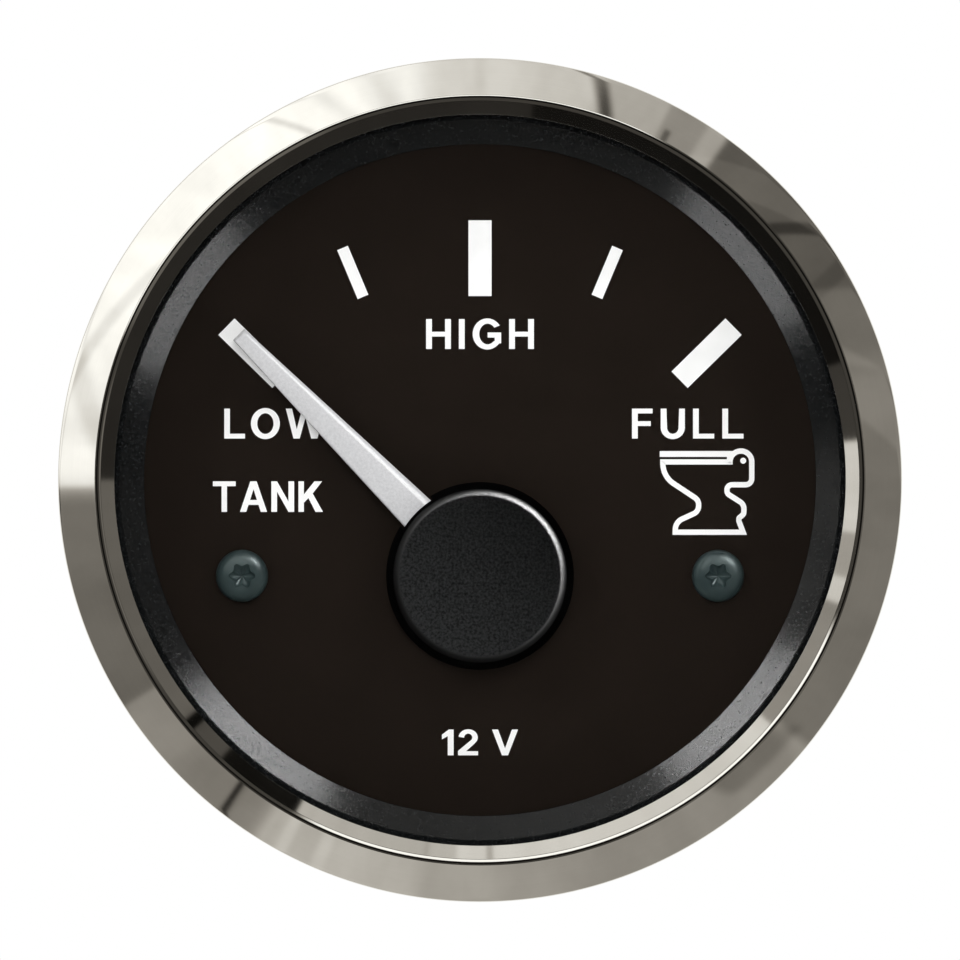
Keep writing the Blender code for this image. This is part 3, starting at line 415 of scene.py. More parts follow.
def surface(name, dark, pale, marks, rough=(0.4, 0.5), metallic=0.0, bump=0.2, depth=0.00002,
            centre=None, scale=4000.0, drift=120.0, **plain):
    """A Principled material whose colour, roughness and relief follow the grain or turning group."""
    made = bpy.data.materials.new(name)
    made.use_nodes = True
    tree = made.node_tree
    shader = tree.nodes["Principled BSDF"]
    shader.inputs["Metallic"].default_value = metallic
    for socket_name, value in plain.items():
        shader.inputs[socket_name.replace("_", " ").title().replace("Ior", "IOR")].default_value = value
    pattern = put(tree, "ShaderNodeGroup", node_tree=marks)
    if marks is turning:
        pattern.inputs["Lines"].default_value = scale
        pattern.inputs["Centre"].default_value = centre or (0.0, 0.0, 0.0)
    else:
        pattern.inputs["Scale"].default_value = scale
        pattern.inputs["Drift"].default_value = drift
    tree.links.new(blended(tree, pattern.outputs["Tone"], dark, pale), shader.inputs["Base Color"])
    tree.links.new(ranged(tree, pattern.outputs["Tone"], 0.25, 0.75, *rough), shader.inputs["Roughness"])
    relief = put(tree, "ShaderNodeBump", {"Height": pattern.outputs["Height"], "Strength": bump,
                                          "Distance": depth})
    tree.links.new(relief.outputs[0], shader.inputs["Normal"])
    return made


bezel_steel = surface("polished_stainless", (0.80, 0.79, 0.76), (0.90, 0.89, 0.86), turning,
                      rough=(0.05, 0.09), metallic=1.0, bump=0.05, depth=0.000004, scale=7000.0)
cone_from, crest = Vector((30.93, -8.548)), Vector((28.241, -10.70))
cone_crown, cone_steps = 0.045, 10
cone_out = Vector((crest.y - cone_from.y, cone_from.x - crest.x)).normalized() * -1
cone = []
for step in range(cone_steps):
    share = step / cone_steps
    place = cone_from.lerp(crest, share) + cone_out * (4 * cone_crown * share * (1 - share))
    cone.append((place.x, place.y, 0.0))
bezel_profile = rounded([(31.0, -1.3, 0.0), (31.0, -8.388, 0.0), (30.99, -8.468, 0.0)] + cone + [
    (crest.x, crest.y, 0.22), (27.973, crest.y, 0.57), (26.85, -9.945, 0.015), (26.85, -9.50, 0.0),
    (26.90, -9.45, 0.0),
    (27.75, -9.45, 0.0), (28.15, -9.80, 0.0), (30.25, -8.36, 0.0), (30.30, -8.28, 0.0), (30.30, -1.50, 0.0),
    (29.05, -1.50, 0.0), (29.0, -1.45, 0.0), (29.0, -0.85, 0.0), (29.05, -0.80, 0.0), (30.5, -0.80, 0.0),
    (30.69, -0.84, 0.0), (30.85, -0.95, 0.0), (30.96, -1.11, 0.0),
], 12, 0.01)
as_piece("bezel_rolled", turned(bezel_profile, 256), bezel_steel, "case", ["bezel"])

# Lens: flat mineral glass with a ground edge, held between the bezel's lip and a rubber ring.
# Lamps reach the dial through it, and only the camera sees its gloss.
glass = bpy.data.materials.new("clear_glass")
glass.use_nodes = True
glass_tree = glass.node_tree
glass_shader = glass_tree.nodes["Principled BSDF"]
glass_shader.inputs["Base Color"].default_value = (1.0, 1.0, 1.0, 1.0)
glass_shader.inputs["IOR"].default_value = 1.46
glass_shader.inputs["Transmission Weight"].default_value = 1.0
smears = put(glass_tree, "ShaderNodeTexNoise",
             {"Vector": put(glass_tree, "ShaderNodeTexCoord").outputs["Object"], "Scale": 90.0,
              "Detail": 4.0})
glass_tree.links.new(ranged(glass_tree, smears.outputs["Fac"], 0.35, 0.75, 0.0, 0.012),
                     glass_shader.inputs["Roughness"])
ray = put(glass_tree, "ShaderNodeLightPath").outputs
lights_dial = reckon(glass_tree, "MAXIMUM", ray["Is Shadow Ray"], ray["Is Diffuse Ray"])
not_seen = reckon(glass_tree, "MAXIMUM", lights_dial, ray["Is Glossy Ray"])
clear = put(glass_tree, "ShaderNodeBsdfTransparent")
pane = put(glass_tree, "ShaderNodeMixShader", {0: not_seen, 1: glass_shader.outputs[0],
                                               2: clear.outputs[0]})
glass_tree.links.new(pane.outputs[0], glass_tree.nodes["Material Output"].inputs["Surface"])
lens_profile = [(28.4, -9.35), (28.6, -9.15), (28.6, -7.75), (28.4, -7.55)]
as_piece("lens_glass", turned(lens_profile, 192, closed=False), glass, "case", ["lens"])

# Seals: black moulded rubber rings, one behind the glass and one between the head and the panel.
rubber = surface("seal_rubber", (0.019, 0.019, 0.019), (0.032, 0.032, 0.031), grain, rough=(0.62, 0.8),
                 bump=0.3, depth=0.00004, scale=2600.0)
lens_seal = rounded([(27.3, -7.45, 0.2), (28.6, -7.45, 0.2), (28.6, -6.65, 0.2), (27.3, -6.65, 0.2)], 3)
as_piece("lens_seal", turned(lens_seal, 128), rubber, "case", ["lens_gasket"])
panel_seal = rounded([(25.95, -1.5, 0.2), (28.8, -1.5, 0.2), (28.8, 0.0, 0.35), (25.95, 0.0, 0.35)], 4)
as_piece("panel_seal", turned(panel_seal, 128), rubber, "case", ["panel_gasket"])

# Dial ring: moulded black plastic with a fine spark-eroded grain, sloping from the glass
# down to the dial. It is pressed into the cup of the case.
ring_black = surface("grained_black", (0.0020, 0.0025, 0.0028), (0.0125, 0.0135, 0.0140), grain,
                     rough=(0.13, 0.19), bump=0.5, depth=0.000007, scale=4800.0, drift=5200.0,
                     specular_ior_level=0.3, ior=1.62)
ring_profile = rounded([
    (26.5, -7.45, 0.0), (27.0, -7.45, 0.0), (27.0, -3.8, 0.0), (24.7, -3.8, 0.0), (24.7, -4.1, 0.08),
    (26.5, -5.15, 0.12),
], 4)
dial_ring = as_piece("dial_ring_grained", turned(ring_profile, 256), ring_black, "case",
                     ["dial_ring"])

# Dial plate: aluminium sheet with a baked matt black print. The five bars of the scale and the
# words are a second print in white; the bars are the solids of the CAD model.
dial_print = surface("dial_black", (0.0110, 0.0078, 0.0058), (0.0128, 0.0092, 0.0070), grain,
                     rough=(0.60, 0.72), bump=0.06, depth=0.00001, scale=9000.0, drift=260.0,
                     specular_ior_level=0.06)
white_ink = surface("printed_white", (0.93, 0.93, 0.92), (0.99, 0.99, 0.98), grain, rough=(0.5, 0.6),
                    bump=0.08, depth=0.00001, scale=12000.0, drift=600.0, specular_ior_level=0.3)


def dress(finish, *nodes):
    """Gives CAD nodes that stay a better material."""
    for node in nodes:
        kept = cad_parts[node]
        if not kept.material_slots:
            kept.data.materials.append(finish)
        for held in kept.material_slots:
            held.material = finish


dress(dial_print, "dial_plate")
dress(white_ink, *[f"scale_mark_{name}" for name in ("low", "quarter", "half", "three_quarter", "full")])


def flat_part(outlines, thickness, bevel=0.0):
    """A mesh, in millimetres, of flat outlines with their holes, given a thickness about z = 0."""
    curve = bpy.data.curves.new("outline", "CURVE")
    curve.dimensions = "2D"
    curve.fill_mode = "BOTH"
    curve.extrude = thickness / 2 - bevel
    curve.bevel_depth = bevel
    curve.bevel_resolution = 2
    curve.offset = -bevel
    for outline in outlines:
        spline = curve.splines.new("POLY")
        spline.points.add(len(outline) - 1)
        for point, place in zip(spline.points, outline):
            point.co = (place[0], place[1], 0.0, 1.0)
        spline.use_cyclic_u = True
    holder = bpy.data.objects.new("outline", curve)
    mesh = bpy.data.meshes.new_from_object(holder)
    bm = bmesh.new()
    bm.from_mesh(mesh)
    bpy.data.objects.remove(holder)
    bpy.data.curves.remove(curve)
    bpy.data.meshes.remove(mesh)
    bmesh.ops.remove_doubles(bm, verts=bm.verts, dist=1e-4)
    return bm


def ellipse(x, y, wide, high, start=0, end=360, steps=40):
    """Points of an ellipse's arc, in degrees from +X, half its width and height given."""
    return [
        (x + wide * cos(radians(start + (end - start) * i / steps)),
         y + high * sin(radians(start + (end - start) * i / steps)))
        for i in range(steps + (0 if end - start == 360 else 1))
    ]


# Letters: a plain bold alphabet, one unit high, each with its width and its outlines.
stem, bar = 0.19, 0.16
letters = {
    "H": (0.81, [[(0, 0), (stem, 0), (stem, 0.415), (0.81 - stem, 0.415), (0.81 - stem, 0), (0.81, 0),
                  (0.81, 1), (0.81 - stem, 1), (0.81 - stem, 0.415 + bar), (stem, 0.415 + bar), (stem, 1),
                  (0, 1)]]),
    "I": (stem, [[(0, 0), (stem, 0), (stem, 1), (0, 1)]]),
    "L": (0.70, [[(0, 0), (0.70, 0), (0.70, bar), (stem, bar), (stem, 1), (0, 1)]]),
    "F": (0.68, [[(0, 0), (stem, 0), (stem, 0.42), (0.62, 0.42), (0.62, 0.42 + bar), (stem, 0.42 + bar),
                  (stem, 1 - bar), (0.68, 1 - bar), (0.68, 1), (0, 1)]]),
    "T": (0.80, [[(0.40 - stem / 2, 0), (0.40 + stem / 2, 0), (0.40 + stem / 2, 1 - bar), (0.80, 1 - bar),
                  (0.80, 1), (0, 1), (0, 1 - bar), (0.40 - stem / 2, 1 - bar)]]),
    "N": (0.80, [[(0, 0), (0.20, 0), (0.20, 0.66), (0.60, 0), (0.80, 0), (0.80, 1), (0.60, 1), (0.60, 0.34),
                  (0.20, 1), (0, 1)]]),
    "K": (0.86, [[(0, 0), (stem, 0), (stem, 0.30), (0.35, 0.45), (0.60, 0), (0.86, 0), (0.50, 0.60),
                  (0.83, 1), (0.56, 1), (stem, 0.57), (stem, 1), (0, 1)]]),
    "A": (0.95, [[(0, 0), (0.22, 0), (0.30, 0.23), (0.65, 0.23), (0.73, 0), (0.95, 0), (0.585, 1),
                  (0.365, 1)], [(0.355, 0.39), (0.475, 0.74), (0.595, 0.39)]]),
    "W": (1.33, [[(0.26, 0), (0.47, 0), (0.665, 0.70), (0.86, 0), (1.07, 0), (1.33, 1), (1.12, 1),
                  (0.96, 0.31), (0.775, 1), (0.555, 1), (0.37, 0.31), (0.21, 1), (0, 1)]]),
    "V": (0.94, [[(0.36, 0), (0.58, 0), (0.94, 1), (0.72, 1), (0.47, 0.27), (0.22, 1), (0, 1)]]),
    "O": (0.98, [ellipse(0.49, 0.5, 0.49, 0.52), ellipse(0.49, 0.5, 0.275, 0.345)]),
    "U": (0.80, [[(0, 1)] + ellipse(0.40, 0.37, 0.40, 0.39, 180, 360) + [(0.80, 1), (0.80 - stem, 1)]
                 + ellipse(0.40, 0.37, 0.19, 0.21, 360, 180) + [(stem, 1)]]),
    "G": (0.93, [ellipse(0.48, 0.5, 0.48, 0.52, 33, 322) + [(0.93, 0.19), (0.93, 0.55), (0.49, 0.55),
                 (0.49, 0.38), (0.72, 0.38), (0.72, 0.27)]
                 + ellipse(0.49, 0.5, 0.275, 0.345, 312, 38)]),
    "1": (0.42, [[(0.21, 0), (0.42, 0), (0.42, 1), (0.25, 1), (0.0, 0.80), (0.0, 0.62), (0.21, 0.74)]]),
    "2": (0.72, [[(0, 0), (0.72, 0), (0.72, bar), (0.29, bar), (0.58, 0.44)]
                 + ellipse(0.365, 0.69, 0.345, 0.32, -25, 175, 20) + [(0.22, 0.68)]
                 + ellipse(0.365, 0.69, 0.145, 0.15, 175, -35, 16) + [(0.0, 0.17)]]),
    " ": (0.18, []),
}
print_front, print_thickness = -3.712, 0.024


def printed(name, outlines, thickness=print_thickness):
    """White ink on the dial, from outlines in millimetres of the dial's own x and z."""
    bm = flat_part(outlines, thickness)
    onto = Matrix.Translation((0.0, print_front * mm, 0.0)) @ Matrix.Rotation(radians(90), 4, "X")
    bmesh.ops.transform(bm, matrix=onto @ Matrix.Scale(mm, 4), verts=bm.verts)
    as_piece(name, bm, white_ink, "case")


def word(name, text, centre, size, spacing):
    """A printed word, fitted to a width and height round its centre."""
    outlines, pen = [], 0.0
    for letter in text:
        width, shapes = letters[letter]
        outlines += [[(pen + x, y - 0.5) for x, y in shape] for shape in shapes]
        pen += width + spacing
    pen -= spacing
    across, up = size[0] / pen, size[1]
    printed(name, [[(centre[0] + (x - pen / 2) * across, centre[1] + y * up) for x, y in shape]
                   for shape in outlines])


word("word_high", "HIGH", (0.0, 10.74), (7.93, 2.2), 0.26)
word("word_low", "LOW", (-15.10, 4.15), (7.42, 2.2), 0.20)
word("word_full", "FULL", (15.28, 4.15), (8.20, 2.2), 0.27)
word("word_tank", "TANK", (-15.60, -1.22), (8.1, 2.25), 0.15)
word("word_volts", "12 V", (0.0, -19.3), (5.6, 1.9), 0.16)


# Tank symbol: a plain marine toilet in outline, the usual sign for a holding tank, printed as one
# line of even width with a lid and a hinge.


def two_sides(path, width, closed):
    """Points along both sides of a line of that width, mitred at its corners."""
    left, right = [], []
    for i, point in enumerate(path):
        back = path[i - 1] if closed or i else path[i] * 2 - path[i + 1]
        ahead = path[(i + 1) % len(path)] if closed or i + 1 < len(path) else path[i] * 2 - path[i - 1]
        along_in, along_out = (point - back).normalized(), (ahead - point).normalized()
        normal_in = Vector((-along_in.y, along_in.x))
        mitre = (normal_in + Vector((-along_out.y, along_out.x))).normalized()
        reach = width / 2 / max(mitre.dot(normal_in), 0.4)
        left.append(point + mitre * reach)
        right.append(point - mitre * reach)
    return left, right


symbol_line, lid_thickness = 0.39, 0.030
bowl = rounded([
    (13.45, 1.33, 0.0), (13.46, 0.26, 1.75), (16.09, -1.49, 0.62), (16.07, -2.32, 0.62),
    (14.38, -3.09, 0.85), (14.36, -3.84, 0.0), (19.35, -3.84, 0.0), (19.04, -3.02, 0.12),
    (19.05, -2.80, 0.10), (19.40, -2.50, 0.25),
    (19.42, -1.79, 0.60), (18.17, -0.99, 0.34), (18.17, -0.35, 0.36), (19.99, -0.35, 0.46),
    (19.99, 2.13, 0.79), (18.39, 2.13, 0.79), (18.39, 1.33, 0.0),
], 12)
lid = [(13.22, 1.70), (18.16, 1.70), (18.16, 1.34), (18.55, 1.34), (18.55, 1.70), (18.62, 2.13),
       (13.22, 2.13)]
hinge = ellipse(19.36, 1.42, 0.22, 0.22, steps=24)
bowl_left, bowl_right = two_sides(bowl, symbol_line, True)
line_rings = []
for side, lift in ((bowl_left, -1), (bowl_right, -1), (bowl_right, 1), (bowl_left, 1)):
    depth_there = (print_front + lift * print_thickness / 2) * mm
    line_rings.append([(x * mm, depth_there, z * mm) for x, z in side])
as_piece("tank_symbol", skin(line_rings, closed=True), white_ink, "case")
printed("tank_symbol_lid", [lid], lid_thickness)
printed("tank_symbol_hinge", [hinge])

# Dial screws: small six-lobe pan heads in blackened zinc that hold the dial, light box and board.
dark_zinc = surface("dark_zinc", (0.034, 0.056, 0.058), (0.048, 0.076, 0.076), grain, rough=(0.30, 0.42),
                    metallic=0.35, specular_ior_level=1.0, bump=0.15, depth=0.00002, scale=5000.0,
                    drift=900.0)


def cut(piece, tool, operation="DIFFERENCE"):
    """Cuts or joins a piece with a tool mesh, keeps the result and drops the tool."""
    blade = as_piece("tool", tool, None, None)
    change = piece.modifiers.new("cut", "BOOLEAN")
    change.operation = operation
    change.object = blade
    change.solver = "EXACT"
    bpy.context.view_layer.update()
    shaped = bpy.data.meshes.new_from_object(piece.evaluated_get(bpy.context.evaluated_depsgraph_get()))
    piece.modifiers.clear()
    piece.data = shaped
    shaped.name = piece.name
    shaped.set_sharp_from_angle(angle=radians(32))
    bpy.data.objects.remove(blade)


def column(outline, front, back, at=(0.0, 0.0)):
    """A mesh of an outline in the (x, z) plane, in millimetres, standing between two depths."""
    return skin([[((at[0] + x) * mm, y * mm, (at[1] + z) * mm) for x, z in outline] for y in (front, back)])


def circle(radius, segments=48, at=(0.0, 0.0)):
    return [(at[0] + radius * cos(tau * i / segments),
             at[1] + radius * sin(tau * i / segments)) for i in range(segments)]


screw_profile = [(0.35, -5.0), (0.80, -4.985), (1.15, -4.93), (1.42, -4.83), (1.64, -4.69), (1.79, -4.50),
                 (1.88, -4.28), (1.92, -4.05), (1.90, -3.88), (1.82, -3.80), (0.90, -3.80), (0.90, 6.9),
                 (0.4, 7.7)]
lobes = [((0.84 + 0.13 * cos(6 * a)) * cos(a), (0.84 + 0.13 * cos(6 * a)) * sin(a))
         for a in [tau * i / 72 for i in range(72)]]
recess_steps = [(1.0, -5.6), (1.0, -4.93), (0.80, -4.66), (0.70, -4.60), (0.10, -4.28)]
screws = []
screw_x = 17.504
for name, x in (("left", -screw_x), ("right", screw_x)):
    screw = as_piece(f"screw_{name}", turned(screw_profile, 64, False, (x, pivot_z)), dark_zinc, "case",
                     [f"dial_screw_{name}"])
    cut(screw, skin([[((x + u * share) * mm, y * mm, (pivot_z + v * share) * mm) for u, v in lobes]
                     for share, y in recess_steps]))
    screws.append(screw)

# Pointer: a moulded needle with a silver-white lacquer, faceted along one edge, on a hub that is
# pressed on the spindle. It rests 45 degrees left of upright.
silver_white = surface("pointer_silver_white", (0.575, 0.575, 0.585), (0.675, 0.675, 0.685), grain,
                       rough=(0.32, 0.42), bump=0.25, depth=0.00002, scale=4200.0, drift=5200.0,
                       coat_weight=1.0, coat_roughness=0.20)
rest_angle = radians(-45)
root_width, tip_width, cap_reach, tip_reach = 2.70, 1.16, 6.92, 25.1
pointer_place = Matrix.Translation((0.0, 0.0, pivot_z * mm)) @ Matrix.Rotation(rest_angle, 4, "Y")


def half_width(reach):
    """Half the needle's width, in millimetres, that far from the pivot."""
    return (root_width + (tip_width - root_width) * (reach - cap_reach) / (tip_reach - cap_reach)) / 2


def in_pointer(bm):
    bmesh.ops.transform(bm, matrix=pointer_place, verts=bm.verts)
    return bm


needle_rings = []
for reach, sink in ((3.3, 0.0), (6.0, 0.0), (10.0, 0.0), (15.0, 0.0), (20.0, 0.0), (24.6, 0.0), (24.92, 0.04),
                    (25.06, 0.16), (25.1, 0.34)):
    half = half_width(reach)
    facet_from, facet_drop = 0.56 * half, 0.21 * half
    section = [(-half, -4.7), (half, -4.7), (half, -5.54 + facet_drop), (half - 0.04, -5.59 + facet_drop),
               (facet_from + 0.06, -5.58), (facet_from, -5.595), (facet_from - 0.06, -5.6),
               (-0.86 * half, -5.5), (-0.94 * half, -5.45), (-half, -5.32)]
    needle_rings.append([(x * mm, min(y + sink, -4.7) * mm, reach * mm) for x, y in section])
hub_profile = rounded([(0.85, -6.0, 0.0), (5.4, -6.0, 0.15), (5.4, -4.7, 0.0), (0.85, -4.7, 0.0)], 3)
needle = as_piece("needle", in_pointer(turned(hub_profile, 96)), silver_white, "pointer",
                  ["pointer_needle"])
cut(needle, in_pointer(skin(needle_rings)), "UNION")

# Pointer cap: a black moulding over the hub, its side bright from the mould and its top with a fine grain
# and a painted sheen that makes it lighter toward the lower left. A notch in its side lets the needle out.
cap_black = surface("gloss_black", (0.0012, 0.0012, 0.0013), (0.0020, 0.0020, 0.0021), grain,
                    rough=(0.20, 0.28), bump=0.30, depth=0.000012, scale=3600.0, drift=500.0,
                    specular_ior_level=0.0, coat_roughness=0.32, coat_ior=1.3)
cap_tree = cap_black.node_tree
cap_shader = cap_tree.nodes["Principled BSDF"]
facing_out = put(cap_tree, "ShaderNodeSeparateXYZ",
                 {0: put(cap_tree, "ShaderNodeNewGeometry").outputs["Normal"]})
facing_y = facing_out.outputs[1]
is_top = ranged(cap_tree, facing_y, -0.97, -0.995)
top_grain = put(cap_tree, "ShaderNodeGroup", {"Scale": 5200.0, "Drift": 5200.0}, node_tree=grain)
top_tone = blended(cap_tree, top_grain.outputs["Tone"], (0.0055, 0.0057, 0.0058), (0.0210, 0.0213, 0.0213))
# Painted sheen: the top's colour is scaled up toward the lower left and down toward the upper right.
painted_sheen_place = put(cap_tree, "ShaderNodeVectorMath",
                 {0: put(cap_tree, "ShaderNodeTexCoord").outputs["Object"], 1: (-0.72, 0.0, -0.69)},
                 operation="DOT_PRODUCT")
painted_sheen = ranged(cap_tree, painted_sheen_place.outputs["Value"], -2.5 * mm, 9.5 * mm, 0.45, 1.32)
top_with_painted_sheen = put(cap_tree, "ShaderNodeVectorMath", {0: top_tone, "Scale": painted_sheen}, operation="SCALE")
side_tone = cap_shader.inputs["Base Color"].links[0].from_socket
cap_colour = blended(cap_tree, is_top, side_tone, top_with_painted_sheen.outputs[0])
cap_tree.links.new(cap_colour, cap_shader.inputs["Base Color"])
cap_tree.links.new(ranged(cap_tree, is_top, 0.0, 1.0, 0.25, 0.72), cap_shader.inputs["Roughness"])
not_side = ranged(cap_tree, facing_y, -0.45, -0.70)
cap_tree.links.new(reckon(cap_tree, "SUBTRACT", not_side, is_top), cap_shader.inputs["Coat Weight"])
cap_profile = rounded([(0.0, -6.9, 0.0), (6.34, -6.9, 0.66), (cap_reach, -4.4, 0.08), (6.12, -4.4, 0.0),
                       (5.6, -6.1, 0.0), (0.0, -6.1, 0.0)], 8, 0.03)
cap = as_piece("cap", in_pointer(turned(cap_profile, 192, False)), cap_black, "pointer",
               ["pointer_cap"])
notch_half = half_width(6.12) + 0.15
cut(cap, in_pointer(column([(-notch_half, 3.3), (notch_half, 3.3), (notch_half, 11.5), (-notch_half, 11.5)],
                           -5.75, -3.6)))

# Accents: soft boxes that only give their gloss, each to one part, so that the bezel keeps its own
# picture of the room: four lobes round the grained ring, and one light each for needle, screws and cap.
for name, angle, tilt, watts, size, lit_pieces in (
    ("ring_upper_right", 50, 60, 1.16, 0.24, [dial_ring]),
    ("ring_upper_left", 137, 60, 1.02, 0.24, [dial_ring]),
    ("ring_lower_left", 220, 60, 0.50, 0.24, [dial_ring]),
    ("ring_lower_right", 328, 60, 0.51, 0.24, [dial_ring]),
    ("needle", 45, 52, 0.85, 0.24, [needle]),
    ("screws", 50, 55, 1.30, 0.20, screws),
    ("cap", 46, 46, 90.0, 0.50, [cap]),
):
    accent = soft_box(name, angle, tilt, watts, size)
    lit_by = bpy.data.collections.new(f"lit_by_{name}")
    for piece in lit_pieces:
        lit_by.objects.link(piece)
    accent.light_linking.receiver_collection = lit_by
    accent.visible_diffuse = False

# Movement: the ground spindle and ferrite magnet turn with the pointer inside two cream bobbin
# halves, four copper windings and a drawn steel can. None of it shows once the case is closed.
pivot = (0.0, 0.0, pivot_z * mm)
dress(surface("ground_steel", (0.42, 0.42, 0.43), (0.60, 0.60, 0.61), turning, rough=(0.15, 0.28),
              metallic=1.0, bump=0.15, depth=0.000004, centre=pivot, scale=9000.0), "pointer_spindle")
dress(surface("magnet", (0.060, 0.060, 0.065), (0.11, 0.11, 0.115), grain, rough=(0.5, 0.7), metallic=0.4,
              bump=0.5, depth=0.00004, scale=3500.0), "magnet_rotor")
dress(surface("bobbin_cream", (0.66, 0.61, 0.49), (0.76, 0.71, 0.60), grain, rough=(0.42, 0.55), bump=0.12,
              scale=3000.0), "movement_carrier", "rear_bobbin")
dress(surface("can_steel", (0.50, 0.51, 0.52), (0.66, 0.67, 0.67), turning, rough=(0.22, 0.38), metallic=1.0,
              bump=0.3, depth=0.00001, centre=pivot, scale=4500.0), "shield_can")
wire_width = 0.16 * mm
for name, axis in (("inner_coil_left", 0), ("inner_coil_right", 0), ("outer_coil_lower", 2),
                   ("outer_coil_upper", 2)):
    copper = surface(f"coil_copper_{name}", (0.42, 0.13, 0.05), (0.66, 0.26, 0.11), grain, rough=(0.22, 0.34),
                     metallic=1.0, scale=6000.0, drift=900.0)
    tree = copper.node_tree
    place = put(tree, "ShaderNodeSeparateXYZ", {0: put(tree, "ShaderNodeTexCoord").outputs["Object"]})
    turns = reckon(tree, "SINE", reckon(tree, "MULTIPLY", place.outputs[axis], tau / wire_width))
    relief = put(tree, "ShaderNodeBump", {"Height": turns, "Strength": 0.8, "Distance": 0.00006})
    tree.links.new(relief.outputs[0], tree.nodes["Principled BSDF"].inputs["Normal"])
    dress(copper, name)

# Light box, board and lamps: a white tray that spreads the light of four small lamps over the
# back of the dial, and the round board that carries them and the pins of the windings.
dress(surface("moulded_white", (0.80, 0.80, 0.77), (0.88, 0.88, 0.86), grain, rough=(0.38, 0.5), bump=0.1,
              scale=3000.0), "light_box")
dress(surface("lamp_lens", (0.84, 0.80, 0.58), (0.92, 0.90, 0.72), grain, rough=(0.2, 0.3), bump=0.05,
              scale=3000.0), "lamp_1", "lamp_2", "lamp_3", "lamp_4")
board_green = surface("board_green", (0.012, 0.10, 0.04), (0.02, 0.15, 0.06), grain, rough=(0.28, 0.4),
                      bump=0.1, scale=5000.0, drift=500.0)
tree = board_green.node_tree
lie = put(tree, "ShaderNodeMapping", {"Vector": put(tree, "ShaderNodeTexCoord").outputs["Object"],
                                      "Rotation": (radians(90), 0.0, 0.0), "Scale": (400.0, 400.0, 400.0)})
black, white = (0.0, 0.0, 0.0, 1.0), (1.0, 1.0, 1.0, 1.0)
tracks = put(tree, "ShaderNodeTexBrick", {"Vector": lie.outputs[0], "Color1": black, "Color2": black,
                                          "Mortar": white, "Scale": 1.0, "Mortar Size": 0.06,
                                          "Mortar Smooth": 0.2})
solder_mask = tree.nodes["Principled BSDF"].inputs["Base Color"].links[0].from_socket
tracked = blended(tree, tracks.outputs["Fac"], solder_mask, (0.04, 0.26, 0.10))
tree.links.new(tracked, tree.nodes["Principled BSDF"].inputs["Base Color"])
dress(board_green, "circuit_board")

# Housing: a black glass-filled nylon moulding, a cup for the dial with a barrel behind it. Bosses
# stand round the three terminals, with their signs moulded beside them.
nylon = surface("moulded_black", (0.0105, 0.0105, 0.0105), (0.017, 0.017, 0.017), grain, rough=(0.42, 0.56),
                bump=0.35, depth=0.00005, scale=2400.0, drift=160.0)
case_profile = rounded([
    (0.0, 29.5, 0.0), (25.55, 29.5, 1.2), (25.75, -1.6, 0.3), (30.2, -1.6, 0.15), (30.2, -6.55, 0.1),
    (27.1, -6.55, 0.1), (27.1, -2.8, 0.0), (24.25, -2.8, 0.1), (24.05, 27.5, 0.4), (0.0, 27.5, 0.0),
], 6)
case = as_piece("case_moulding", turned(case_profile, 192, False), nylon, "case", ["case"])
terminals = {"sender": (-11.960, 13.519), "ground": (0.0, 18.05), "supply": (11.960, 13.519)}
clamp_places = {"left": (-19.0, 0.0), "right": (19.0, 0.0)}
blades = {"ground": (-16.503, -12.987), "supply": (16.503, -12.987)}
boss_profile = rounded([(0.0, 28.5, 0.0), (5.2, 28.5, 0.0), (5.2, 30.5, 0.3), (0.0, 30.5, 0.0)], 4)
for place in terminals.values():
    cut(case, turned(boss_profile, 96, False, place), "UNION")
for place in list(terminals.values()) + list(clamp_places.values()):
    cut(case, column(circle(2.2), 26.5, 31.5, place))
for place in blades.values():
    cut(case, column([(-2.5, -0.5), (2.5, -0.5), (2.5, 0.5), (-2.5, 0.5)], 26.5, 31.5, place))


def spline_path(points, steps=8):
    """A smooth open path through points, by Catmull and Rom's curve."""
    path = []
    for i in range(len(points) - 1):
        four = [Vector(points[min(max(i + k, 0), len(points) - 1)]) for k in (-1, 0, 1, 2)]
        for step in range(steps):
            t = step / steps
            path.append(0.5 * ((2 * four[1]) + (four[2] - four[0]) * t
                               + (2 * four[0] - 5 * four[1] + 4 * four[2] - four[3]) * t * t
                               + (3 * four[1] - four[0] - 3 * four[2] + four[3]) * t * t * t))
    path.append(Vector(points[-1]))
    return path


def open_line(path, width):
    """The outline of a line with square ends, of that width along an open path."""
    left, right = two_sides(path, width, False)
    return left + right[::-1]


ess = spline_path([(0.72, 0.78), (0.35, 1.02), (-0.35, 0.98), (-0.62, 0.52), (-0.3, 0.12), (0.3, -0.12),
                   (0.62, -0.52), (0.35, -0.98), (-0.35, -1.02), (-0.72, -0.78)])
minus = [Vector((-0.9, 0.0)), Vector((0.9, 0.0))]
plus_upright = [Vector((0.0, -0.9)), Vector((0.0, 0.9))]
for name, lines_of_sign, place in (
    ("sender", [ess], (-6.4, 18.6)),
    ("ground", [minus], (0.0, 11.0)),
    ("supply", [minus, plus_upright], (6.4, 18.6)),
):
    for index, path in enumerate(lines_of_sign):
        bm = flat_part([open_line(path, 0.42)], 0.30)
        onto = Matrix.Translation((place[0] * mm, 29.6 * mm, place[1] * mm)) @ Matrix.Rotation(
            radians(180), 4, "Z") @ Matrix.Rotation(radians(90), 4, "X")
        bmesh.ops.transform(bm, matrix=onto @ Matrix.Scale(mm, 4), verts=bm.verts)
        as_piece(f"sign_{name}_{index + 1}", bm, nylon, "case")

